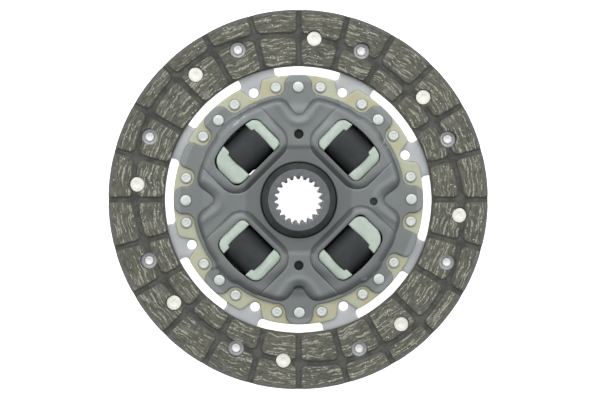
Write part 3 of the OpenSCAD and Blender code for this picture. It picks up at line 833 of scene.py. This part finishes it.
pad_lines = creases(pads, 0.0, -0.15, -0.4, -0.75, -PAD_SIDE)
facing = plate(facing_flat, facing_top, flat(FACING_BACK), FACING_BOX, step=1.7,
               edge=0.25, spacing=0.75, levels=pad_lines, rough_step=5.0)
piece("front_facing_pads", [facing], M_FACING, "disc", ["front_facing"])
rear = plate(facing_flat, facing_top, flat(FACING_BACK), FACING_BOX, step=4.0,
             edge=0.25, seg=1, spacing=1.0, levels=creases(pads, 0.0, -1.0), rough_step=5.0)
piece("rear_facing_pads", [mirrored(rear)], M_FACING, "disc", ["rear_facing"])

# facing rivets: a head with a shallow dimple, a shank, and a tail that is rolled over the cushion segment

FACING_RIVET = [(0, 2.74), (0.9, 2.75), (1.3, 2.8), (1.6, 2.9), (1.9, 2.93), (3.3, 2.93), (3.8, 2.86),
                (3.98, 2.65), (3.98, 2.0), (2.0, 2.0), (2.0, -0.21), (2.66, -0.21), (2.64, -0.3),
                (2.5, -0.52), (2.32, -0.8), (2.08, -1.04), (1.75, -1.13), (1.45, -1.1), (1.2, -0.96),
                (1.0, -0.82), (0.7, -0.73), (0, -0.7)]
front = rivets(FACING_RIVET, RIVET_R, HEAD_AT, 8, 56)
piece("front_facing_rivet_set", front, M_HEAD, "disc", ["front_facing_rivets"])
back = [mirrored(rivet) for rivet in rivets(FACING_RIVET, RIVET_R, TAIL_AT, 8, 56)]
piece("rear_facing_rivet_set", back, M_TAIL_PAINTED_LIGHT, "disc", ["rear_facing_rivets"])

# cushion segments: a riveted base, a neck, and a pair of lobes between the facings

SEGMENT_HALF_T = 0.4
SEGMENT_BOX = (30, 100, -3, 82)
SEGMENT_GAP = 0.4
BASE_REACH = (55.1, PLATE_R)
NECK_REACH = (63.0, 74.0)
NECK_SIDES = (10.7, 26.8)
LOBE_REACH = (72.2, 97.5)
LOBE_SIDES = (11.1, 54.9)
LOBE_SPLIT = 27.8
LOBE_SHIFT = 0.2
SHANK_HOLE_R = 2.05
EAR_NOTCH_R = 3.9
LOCATE_R = 2.45
TAIL_HOLE_R = 2.2
BASE_CORNER = 0.6
LOBE_CORNER = 2.5
NECK_FILLET = 2.2
LOBE_FILLET = 2.8
EAR_NOTCH_EDGE = 0.5
SHIFT_R = 70.5
SHIFT_WIDE = 4.0
SPLIT_WIDE = 6.0


def segment_flat(x, y):
    base = patch(x, y, BASE_REACH, (TURN + SEGMENT_GAP, TURN + EIGHTH - SEGMENT_GAP), BASE_CORNER)
    neck = patch(x, y, NECK_REACH, NECK_SIDES)
    lobe = patch(x, y, LOBE_REACH, LOBE_SIDES, LOBE_CORNER)
    f = either(either(base, neck, NECK_FILLET), lobe, LOBE_FILLET)
    for side in (-1, 1):
        f = drilled(f, turned(x, y, SEGMENT_MIDDLE + EIGHTH / 4 * side), SMALL_RIVET_R, SHANK_HOLE_R)
    for end in (0, EIGHTH):
        f = drilled(f, turned(x, y, TURN + end), EAR_RIVET_R, EAR_NOTCH_R, EAR_NOTCH_EDGE)
    f = drilled(f, turned(x, y, SEGMENT_MIDDLE), NOTCH_R, LOCATE_R)
    for at in (TAIL_AT, HEAD_AT):
        f = drilled(f, turned(x, y, at), RIVET_R, TAIL_HOLE_R)
    return f


def segment_mid(x, y):
    """The sheet's middle: one lobe is set off to the back, the other to the front."""
    r = np.hypot(x, y)
    a = np.degrees(np.arctan2(y, x))
    shift = -LOBE_SHIFT + 2 * LOBE_SHIFT * smooth((a - LOBE_SPLIT) / SPLIT_WIDE)
    return smooth((r - SHIFT_R) / SHIFT_WIDE) * shift


def segment_top(x, y):
    return segment_mid(x, y) + SEGMENT_HALF_T


def segment_bottom(x, y):
    return segment_mid(x, y) - SEGMENT_HALF_T


segment = plate(segment_flat, segment_top, segment_bottom, SEGMENT_BOX, grid=0.4, step=2.0, edge=0.12)
for k in range(8):
    piece(f"cushion_spring_{k + 1}", [spun(segment, EIGHTH * k)], M_SEGMENT, "disc",
          [f"cushion_segment_{k + 1}"])

# disc plate: a notched rim, and a dish that holds the damper

PLATE_BOX = (-67, 67, -67, 67)
DISC_T = 1.6
DISC_BORE_R = 20.2
NOTCH_TIP_R = 3.2
NOTCH_FLARE = 31
NOTCH_CORNER = 1.6
DISH_R = 55.6
DISH_WALL = 4.6
DISH_DEEP = 8.5
DISH_LIP = 1.1
DISH_LIP_END = 2.6
DISH_LIP_WIDE = 2.4
DISH_FLOOR_R = 53
DISH_FLOOR_EDGE = 3


def disc_flat(x, y):
    r = np.hypot(x, y)
    u, v = folded(x, y, SEGMENT_MIDDLE, EIGHTH)
    f = both(r - PLATE_R, -vee(u, v, NOTCH_R, NOTCH_TIP_R, NOTCH_FLARE), NOTCH_CORNER)
    f = np.maximum(f, DISC_BORE_R - r)
    return np.maximum(f, -windows(x, y))


def disc_top(x, y):
    r = np.hypot(x, y)
    deep = DISH_DEEP * smooth((DISH_R - r) / DISH_WALL)
    lip = -DISH_LIP * smooth((DISH_LIP_END - windows(x, y)) / DISH_LIP_WIDE)
    return DISC_TOP - deep + lip * smooth((DISH_FLOOR_R - r) / DISH_FLOOR_EDGE)


dish_rings = creases(np.hypot, 50.2, 51.0, 51.9, 52.8, 53.7, 54.6, DISH_R)
disc = plate(disc_flat, disc_top, thick(disc_top, DISC_T), PLATE_BOX, grid=0.4, step=1.1, edge=0.25,
             levels=dish_rings, under=dish_rings)
piece("disc_plate_pressing", [disc], M_DISC, "disc", ["disc_plate"])

# cover plate: a flat rim with ears and two lobes, a raised middle with four Vs, and lips round the windows

COVER_T = 2.0
COVER_R = 56.2
COVER_BORE_R = 20.0
COVER_WINDOW_HIGH = 48.85
EAR_R = 65.8
EAR_HALF = 7.1
EAR_INNER = 45
COVER_LOBES_AT = (157.8, 337.8)
LOBE_HALF = 6.7
EAR_CORNER = 5.0
EAR_FILLET = 4.0
COVER_LOBE_ROUND = 3.0
SCALLOP_R = 4.0
SCALLOP_EDGE = 1.2
# small round holes: direction, radius where they lie, their own radius, and a shift to the side
COVER_HOLES = [(90, 34.5, 2.4, 0), (270, 34.5, 2.4, 0), (0, 39.3, 1.95, 0.9)]
# the Vs: direction, and where the tip's middle lies
COVER_VEES = [(0, 48.0), (90, 47.9), (180, 47.7), (270, 49.1)]
VEE_TIP_R = 2.9
VEE_FLARE = 35.5
WALL_FOOT_R = 54.4
WALL_WIDE = 4.9
WALL_CORNER = 3.5
PANEL_TOP = 6.3
FLOOR_RISE = 0.9
FLOOR_RISE_R = 51.8
FLOOR_RISE_WIDE = 6.0
RIB_HIGH = 0.5
RIB_AT = 4.6
RIB_WIDE = 1.8
MIDDLE_HALF = 29.3
MIDDLE_DROP = 0.6
MIDDLE_EDGE = 3.0
STRIP_LOW = 27.9
STRIP_CORNER = 4.5
LIP_WIDE = 5.2
LIP_LEVEL = 0.9
LIP_LEVEL_AT_HUB = 2.5
LIP_HUB_SIDE = 27.8
LIP_HUB_WIDE = 3.0
LIP_TOP = 7.7
LIP_FALL = 1.2
LIP_FALL_R = 38.0
LIP_FALL_WIDE = 12.0
LIP_END_R = 49.6
LIP_FOOT_R = 54.8
LIP_FOOT_BULGE = 1.3
LIP_BULGE_HALF = 9.0
LIP_BULGE_EDGE = 4.0
LIP_LINE_R = 53.8
WALL_LINE_FROM = 4.0
WALL_LINE_WIDE = 1.2
LIP_LINE_WIDE = 2.0
CREASE = 0.22
CREASE_W = 0.55


def cover_flat(x, y):
    r = np.hypot(x, y)
    u, v = folded(x, y, TURN, EIGHTH)
    ear = both(r - EAR_R, np.abs(v) - EAR_HALF, EAR_CORNER)
    f = either(r - COVER_R, np.maximum(ear, EAR_INNER - u), EAR_FILLET)
    for at in COVER_LOBES_AT:
        u, v = turned(x, y, at)
        lobe = both(r - EAR_R, np.abs(v) - LOBE_HALF, COVER_LOBE_ROUND)
        f = either(f, np.maximum(lobe, EAR_INNER - u), COVER_LOBE_ROUND)
    rivet = folded(x, y, TURN + EIGHTH / 4, EIGHTH / 2)
    f = drilled(f, rivet, SMALL_RIVET_R, SCALLOP_R, SCALLOP_EDGE)
    f = np.maximum(f, COVER_BORE_R - r)
    for at, where, hole, shift in COVER_HOLES:
        u, v = turned(x, y, at)
        f = drilled(f, (u, v + shift), where, hole)
    return np.maximum(f, -windows(x, y, high=COVER_WINDOW_HIGH))


def strip(x, y, cw, ccw):
    """A window without its outer edge, so that it runs on to the rim."""
    return both(STRIP_LOW - x, np.maximum(y - ccw, -y - cw), STRIP_CORNER)


def strips(x, y):
    return nearest(strip(*turned(x, y, at), cw, ccw) for at, cw, ccw in WINDOWS)


def cover_vee(x, y):
    return nearest(vee(*turned(x, y, at), tip, VEE_TIP_R, VEE_FLARE) for at, tip in COVER_VEES)


def cover_wall(x, y):
    """Distance inside the raised middle of the cover, from the foot of its walls."""
    return -both(np.hypot(x, y) - WALL_FOOT_R, -cover_vee(x, y), WALL_CORNER)


def cover_panel(x, y):
    """Height of the raised middle without the lips: rounded walls, a soft rib beside each V."""
    r = np.hypot(x, y)
    floor = COVER_RIM_TOP + FLOOR_RISE * smooth((FLOOR_RISE_R - r) / FLOOR_RISE_WIDE)
    rib = RIB_HIGH * np.exp(-((cover_vee(x, y) - RIB_AT) / RIB_WIDE) ** 2)
    middle = MIDDLE_HALF - np.maximum(np.abs(x), np.abs(y))
    drop = MIDDLE_DROP * smooth(middle / MIDDLE_EDGE)
    return floor + (PANEL_TOP + rib - drop - floor) * rounded(cover_wall(x, y), WALL_WIDE, 3.2)


def lip_top(x, y):
    """Height of the lips round the windows, which fall away towards the rim."""
    r = np.hypot(x, y)
    _, v = folded(x, y, EIGHTH, QUARTER)
    foot = LIP_FOOT_R + LIP_FOOT_BULGE * smooth((LIP_BULGE_HALF - np.abs(v)) / LIP_BULGE_EDGE)
    crest = LIP_TOP - LIP_FALL * smooth((r - LIP_FALL_R) / LIP_FALL_WIDE)
    return COVER_RIM_TOP + (crest - COVER_RIM_TOP) * rounded(foot - r, foot - LIP_END_R)


def lip_share(x, y, away):
    """One on a lip, zero past it, by the distance away from its window; steeper on the hub's side."""
    u, _ = folded(x, y, EIGHTH, QUARTER)
    side = 1 - np.clip((away - LIP_LEVEL) / (LIP_WIDE - LIP_LEVEL), 0, 1) ** 2.3
    t = np.clip((away - LIP_LEVEL_AT_HUB) / (LIP_WIDE - LIP_LEVEL_AT_HUB), 0, 1)
    steep = 1 - (0.4 * smooth(t) + 0.6 * t)
    return side + (steep - side) * smooth((LIP_HUB_SIDE - u) / LIP_HUB_WIDE)


def groove(away):
    """A fine crease along a line, by the distance away from it."""
    return CREASE * np.clip(1 - np.abs(away) / CREASE_W, 0, 1)


def cover_top(x, y):
    wall = cover_wall(x, y)
    away = strips(x, y)
    z = cover_panel(x, y)
    z = z + (lip_top(x, y) - z) * lip_share(x, y, away)
    z = z - 0.5 * groove(wall) * smooth((away - WALL_LINE_FROM) / WALL_LINE_WIDE)
    return z - groove(away - LIP_WIDE) * smooth(wall / LIP_LINE_WIDE)


def lip_line(x, y):
    return np.maximum(strips(x, y) - LIP_WIDE, np.hypot(x, y) - LIP_LINE_R)


def wall_line(x, y):
    return -cover_wall(x, y)


crease_lines = [pair for line in (lip_line, wall_line) for pair in creases(line, -CREASE_W, 0.0, CREASE_W)]
cover = plate(cover_flat, cover_top, thick(cover_top, COVER_T), PLATE_BOX, grid=0.4,
              step=0.75, edge=0.4, seg=3, spacing=0.4, levels=crease_lines, rough_step=1.6)
piece("cover_plate_pressing", [cover], M_COVER, "disc", ["cover_plate"])

# plate rivets

SMALL_RIVET = [(0, 3.16), (0.5, 3.15), (0.9, 3.09), (1.25, 3.09), (1.6, 3.19), (2.1, 3.2), (2.55, 3.05),
               (2.8, 2.7), (2.85, 2.3), (2.8, 2.02), (2.0, 2.0), (2.0, -0.4), (3.1, -0.4), (3.1, -1.0),
               (2.5, -1.6), (0, -1.7)]
EAR_RIVET = [(0, 4.92), (1.2, 4.94), (2.3, 4.9), (2.7, 4.75), (2.88, 4.4), (2.85, 4.02), (2.0, 4.0),
             (2.0, 0.4), (3.3, 0.4), (3.3, -0.2), (2.7, -0.85), (0, -0.9)]
small = rivets(SMALL_RIVET, SMALL_RIVET_R, TURN + EIGHTH / 4, 16, 44, 0.006)
piece("segment_rivet_set", small, M_RIVET, "disc", ["segment_rivets"])
ears = rivets(EAR_RIVET, EAR_RIVET_R, TURN, 8, 44, 0.008)
piece("ear_rivet_set", ears, M_RIVET, "disc", ["ear_rivets"])

# hub: a splined barrel, and a flange whose windows clear the rubber blocks at both limits of the twist

SPLINE_N = 21
SPLINE_TURN = 3.33
SPLINE_MID_R = 11.8
SPLINE_TIP_R = 10.92
SPLINE_ROOT_R = 12.75
SPLINE_SIDE_R = 12.78
SPLINE_HALF = 0.42
SPLINE_DEEP = 1.9
SPLINE_WIDE = 0.85
SPLINE_POINTS = 26
# rings of the bore, from the back: height, and the least radius there
BORE = [(-13.0, 12.9), (-12.2, 12.1), (-11.6, 0), (13.45, 0), (13.75, 11.3), (13.95, 11.7)]
# the outside, from the front: radius and height
BARREL = [(13.2, 14.0), (13.4, 14.0), (15.65, 14.0), (15.8, 14.0), (15.95, 13.93), (16.08, 13.75),
          (16.2, 13.55), (18.85, 9.35), (19.0, 9.05), (19.1, 8.7), (19.1, -9.3), (18.1, -9.4),
          (18.1, -12.0), (17.1, -13.0), (13.4, -13.0)]
FLANGE_HALF_T = 3.5
FLANGE_R = 52.0
FLANGE_BORE_R = 18.9
STOP_R = 43.2
STOP_HALF = 6.8
STOP_VEE = (48.2, 5.0, 33)
TWIST_ROOM = 5.4
FLANGE_WINDOW_LOW = 25.2
FLANGE_WINDOW_HIGH = 50.2
FLANGE_WINDOW_EDGE = 0.4


def spline_radius(a):
    """The bore's wall, by direction in degrees: narrow grooves between wide teeth."""
    pitch = 360 / SPLINE_N
    t = (a + SPLINE_TURN) / pitch
    t = np.abs(t - np.round(t)) * pitch * math.pi / 180 * SPLINE_MID_R
    side = SPLINE_SIDE_R - (t - SPLINE_HALF) * SPLINE_DEEP / SPLINE_WIDE
    return np.clip(side, SPLINE_TIP_R, SPLINE_ROOT_R)


def hub_barrel():
    n = SPLINE_N * SPLINE_POINTS
    a = np.arange(n) * 360 / n
    wall = spline_radius(a)
    c, s = np.cos(np.radians(a)), np.sin(np.radians(a))
    rings = [(np.maximum(wall, least), z) for z, least in BORE]
    rings += [(np.full(n, r), z) for r, z in BARREL]
    verts = np.vstack([np.column_stack([r * c, r * s, np.full(n, z)]) for r, z in rings])
    faces = []
    for i in range(len(rings)):
        j = (i + 1) % len(rings)
        for k in range(n):
            m = (k + 1) % n
            faces.append((i * n + m, j * n + m, j * n + k, i * n + k))
    return verts, faces


def flange_flat(x, y):
    r = np.hypot(x, y)
    f = np.maximum(r - FLANGE_R, FLANGE_BORE_R - r)
    u, v = folded(x, y, 0, QUARTER)
    f = np.maximum(f, -np.maximum(STOP_R - r, np.abs(np.degrees(np.arctan2(v, u))) - STOP_HALF))
    for start in (-STOP_HALF, STOP_HALF):
        f = np.maximum(f, -vee(*folded(x, y, start, QUARTER), *STOP_VEE))
    room = windows(x, y, TWIST_ROOM, low=FLANGE_WINDOW_LOW, high=FLANGE_WINDOW_HIGH)
    return both(f, -room, FLANGE_WINDOW_EDGE)


flange = plate(flange_flat, flat(FLANGE_HALF_T), flat(-FLANGE_HALF_T), PLATE_BOX, step=4.0, edge=0.3, seg=1,
               spacing=0.8)
piece("hub_forging", [hub_barrel(), flange], M_HUB, "hub", ["hub"])

# rubber blocks and seats

RUBBER_HALF = 9.1
RUBBER_R = 10.4
RUBBER_AT = 37.75
RUBBER_EDGE = 0.5
RUBBER_ROWS = (6.2, 4.4, 2.0)
WORN_WINDOW = 135
WORN_FROM = 4.0
WORN_WIDE = 2.0
WORN_OFF = 0.35
WORN_SHARE = 0.035
SEAT_TOP = 9.0
SEAT_FALL = 1.5
SEAT_BOX = (24, 52, -22, 22)
SEAT_LOW = 27.4
SEAT_HIGH = 48.3
SEAT_CORNER = 3.7
WIDE_SEAT = 16
WIDE_CORNER = 5.4
SEAT_ROOM = 0.05
SEAT_END_GAP = 0.1
SEAT_ROUND = 3.4
SEAT_INNER_CORNER = 0.3
STEP_AT = 42.9
STEP_DEEP = 1.2
WEB_TOP = -5.0
WEB_BOTTOM = -7.0
WEB_HIGH = 48.35
WEB_CORNER = 3.0


def rubber_block(angle):
    """A rubber cylinder along its window; the worn one leaves a slit at one end of its inner edge."""
    e = RUBBER_EDGE
    upper = [(0, RUBBER_HALF), (RUBBER_R - e, RUBBER_HALF), (RUBBER_R - e * 0.3, RUBBER_HALF - e * 0.3),
             (RUBBER_R, RUBBER_HALF - e)] + [(RUBBER_R, z) for z in RUBBER_ROWS]
    v, f = lathe(upper + [(r, -z) for r, z in reversed(upper)], n=96)
    v = np.column_stack([v[:, 0], -v[:, 2], v[:, 1]])
    if angle == WORN_WINDOW:
        t = smooth((v[:, 1] - WORN_FROM) / WORN_WIDE)
        v[:, 0] = v[:, 0] * (1 - WORN_SHARE * t) + WORN_OFF * t
    v[:, 0] += RUBBER_AT
    return spun((v, f), angle)


def seat_parts(angle, cw, ccw):
    """The two seats of a window, with a step at the rubber's end; a wide one has a thin web behind it, a dark
    sheet that stands for the shade in the gap beside the seat.
    """
    parts = []
    for side, reach in ((-1, cw), (1, ccw)):
        wide = side > 0 and ccw > WIDE_SEAT
        corner = WIDE_CORNER if wide else SEAT_CORNER

        def body(x, y):
            w = window(x, y, cw, ccw, corner=corner, low=SEAT_LOW, high=SEAT_HIGH)
            w = np.maximum(w, np.maximum(-y - cw + SEAT_END_GAP, y - ccw + SEAT_END_GAP))
            end = np.where(x > STEP_AT, RUBBER_HALF - STEP_DEEP + SEAT_ROOM, RUBBER_HALF + SEAT_ROOM)
            return both(w, end - side * y, SEAT_INNER_CORNER)

        def face(x, y):
            t = np.clip((side * y - reach + SEAT_ROUND) / SEAT_ROUND, 0, 1)
            return SEAT_TOP - SEAT_FALL * t ** 2.2

        def back(x, y):
            return -face(x, y)

        def web(x, y):
            w = window(x, y, cw, ccw, corner=WEB_CORNER, low=SEAT_LOW, high=WEB_HIGH)
            return np.maximum(w, RUBBER_HALF + SEAT_ROOM - side * y)

        seat = plate(body, face, back, SEAT_BOX, grid=0.2, step=1.2, edge=0.9, seg=4, spacing=0.35)
        parts.append(spun(seat, angle))
        # the web is a dark sheet that stands for the shade in the gap beside a wide seat
        if wide:
            thin = plate(web, flat(WEB_TOP), flat(WEB_BOTTOM), SEAT_BOX, grid=0.4, step=3.0, seg=1,
                         spacing=0.6)
            parts.append(spun(thin, angle))
    return parts


for k, (at, cw, ccw) in enumerate(WINDOWS):
    piece(f"rubber_block_{k + 1}", [rubber_block(at)], M_RUBBER, "disc", [f"rubber_{k + 1}"], 50)
    piece(f"seat_pair_{k + 1}", seat_parts(at, cw, ccw), M_SEAT, "disc", [f"seats_{k + 1}"],
          50)

# inner rings keep their CAD shape

for node, material in (("front_friction_ring", M_BUSH), ("guide_bush", M_BUSH),
                       ("thrust_ring", M_RING), ("cone_spring", M_RING)):
    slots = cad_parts[node].data.materials
    slots.clear()
    slots.append(material)

# floor, in metres like the light and the camera

FLOOR_HALF = 3
FLOOR_GAP = 0.0002
low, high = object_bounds()
floor_z = low[2] - FLOOR_GAP
corners = [(x * FLOOR_HALF, y * FLOOR_HALF, floor_z) for x, y in ((-1, -1), (1, -1), (1, 1), (-1, 1))]
mesh = bpy.data.meshes.new("floor")
mesh.from_pydata(corners, [], [(0, 1, 2, 3)])
floor = bpy.data.objects.new("floor", mesh)
bpy.context.scene.collection.objects.link(floor)
paper = Look("floor", 0.9, 0.0, 0.1)
paper.colour(paper.mix(paper.noise(scale=0.01), (0.92, 0.92, 0.92, 1), (0.94, 0.94, 0.94, 1)))
paper.b.inputs["Emission Color"].default_value = (1, 1, 1, 1)
paper.b.inputs["Emission Strength"].default_value = 0.95
mesh.materials.append(paper.m)

# light: a soft sky that the camera itself sees as plain pale paper, and one large lamp

SKY_POWER = 1.75
# straight above, where the camera hangs, the sky is darker; it is bright round that and dark at the horizon
SKY_BY_HEIGHT = [(0.0, 0.2), (0.2, 0.26), (0.4, 0.44), (0.6, 0.85), (0.8, 1.05), (0.93, 0.9), (1.0, 0.5)]
# it is dark on the near side, -y
SKY_BY_DEPTH = [(0.0, 0.03), (0.2, 0.12), (0.36, 0.48), (0.46, 0.92), (0.56, 1.0), (1.0, 1.0)]
LAMP_AT = (-0.08, 0.75, 0.85)
LAMP_SIZE = (0.9, 0.4)
LAMP_POWER = 1.6

world = bpy.data.worlds.new("studio")
bpy.context.scene.world = world
world.use_nodes = True
tree = world.node_tree
tree.nodes.clear()


def curve(socket, points):
    """A value looked up along a line of (place, value) points."""
    ramp = tree.nodes.new("ShaderNodeValToRGB")
    ramp.color_ramp.interpolation = "B_SPLINE"
    stops = ramp.color_ramp.elements
    while len(stops) < len(points):
        stops.new(0.5)
    for stop, (place, value) in zip(stops, points):
        stop.position = place
        stop.color = (value, value, value, 1)
    tree.links.new(socket, ramp.inputs[0])
    return ramp.outputs[0]


def product(a, b):
    n = tree.nodes.new("ShaderNodeMath")
    n.operation = "MULTIPLY"
    tree.links.new(a, n.inputs[0])
    if isinstance(b, float):
        n.inputs[1].default_value = b
    else:
        tree.links.new(b, n.inputs[1])
    return n.outputs[0]


def lifted(socket):
    """From -1..1 to 0..1."""
    n = tree.nodes.new("ShaderNodeMapRange")
    n.inputs["From Min"].default_value = -1.0
    tree.links.new(socket, n.inputs["Value"])
    return n.outputs["Result"]


direction = tree.nodes.new("ShaderNodeTexCoord")
parted = tree.nodes.new("ShaderNodeSeparateXYZ")
tree.links.new(direction.outputs["Generated"], parted.inputs[0])
sky_y, sky_z = parted.outputs[1], parted.outputs[2]
sky = tree.nodes.new("ShaderNodeBackground")
sky.inputs["Color"].default_value = (1, 1, 1, 1)
strength = product(curve(sky_z, SKY_BY_HEIGHT), curve(lifted(sky_y), SKY_BY_DEPTH))
tree.links.new(product(strength, SKY_POWER), sky.inputs["Strength"])
pale = tree.nodes.new("ShaderNodeBackground")
pale.inputs["Color"].default_value = (0.93, 0.93, 0.93, 1)
ray = tree.nodes.new("ShaderNodeLightPath")
by_ray = tree.nodes.new("ShaderNodeMixShader")
out = tree.nodes.new("ShaderNodeOutputWorld")
tree.links.new(ray.outputs["Is Camera Ray"], by_ray.inputs[0])
tree.links.new(sky.outputs[0], by_ray.inputs[1])
tree.links.new(pale.outputs[0], by_ray.inputs[2])
tree.links.new(by_ray.outputs[0], out.inputs[0])

light = bpy.data.lights.new("key", "AREA")
light.shape = "RECTANGLE"
light.size, light.size_y = LAMP_SIZE
light.energy = LAMP_POWER
lamp = bpy.data.objects.new("key", light)
lamp.location = LAMP_AT
lamp.rotation_euler = (-Vector(LAMP_AT)).to_track_quat("-Z", "Y").to_euler()
bpy.context.scene.collection.objects.link(lamp)

# camera, above the front face

CAMERA_AT = Vector((-0.010, 0.007, 0.570))
CAMERA_AIM = Vector((0.00072, -0.00012, 0.0))

cam = bpy.data.cameras.new("camera")
cam.lens = 64.5
cam.sensor_width = 36.0
cam.clip_start = 0.01
camera = bpy.data.objects.new("camera", cam)
camera.location = CAMERA_AT
ahead = (CAMERA_AIM - CAMERA_AT).normalized()
right = ahead.cross(Vector((0, 1, 0))).normalized()
camera.rotation_euler = Matrix((right, right.cross(ahead), -ahead)).transposed().to_euler()
bpy.context.scene.collection.objects.link(camera)
bpy.context.scene.camera = camera
bpy.context.scene.view_settings.view_transform = "Standard"
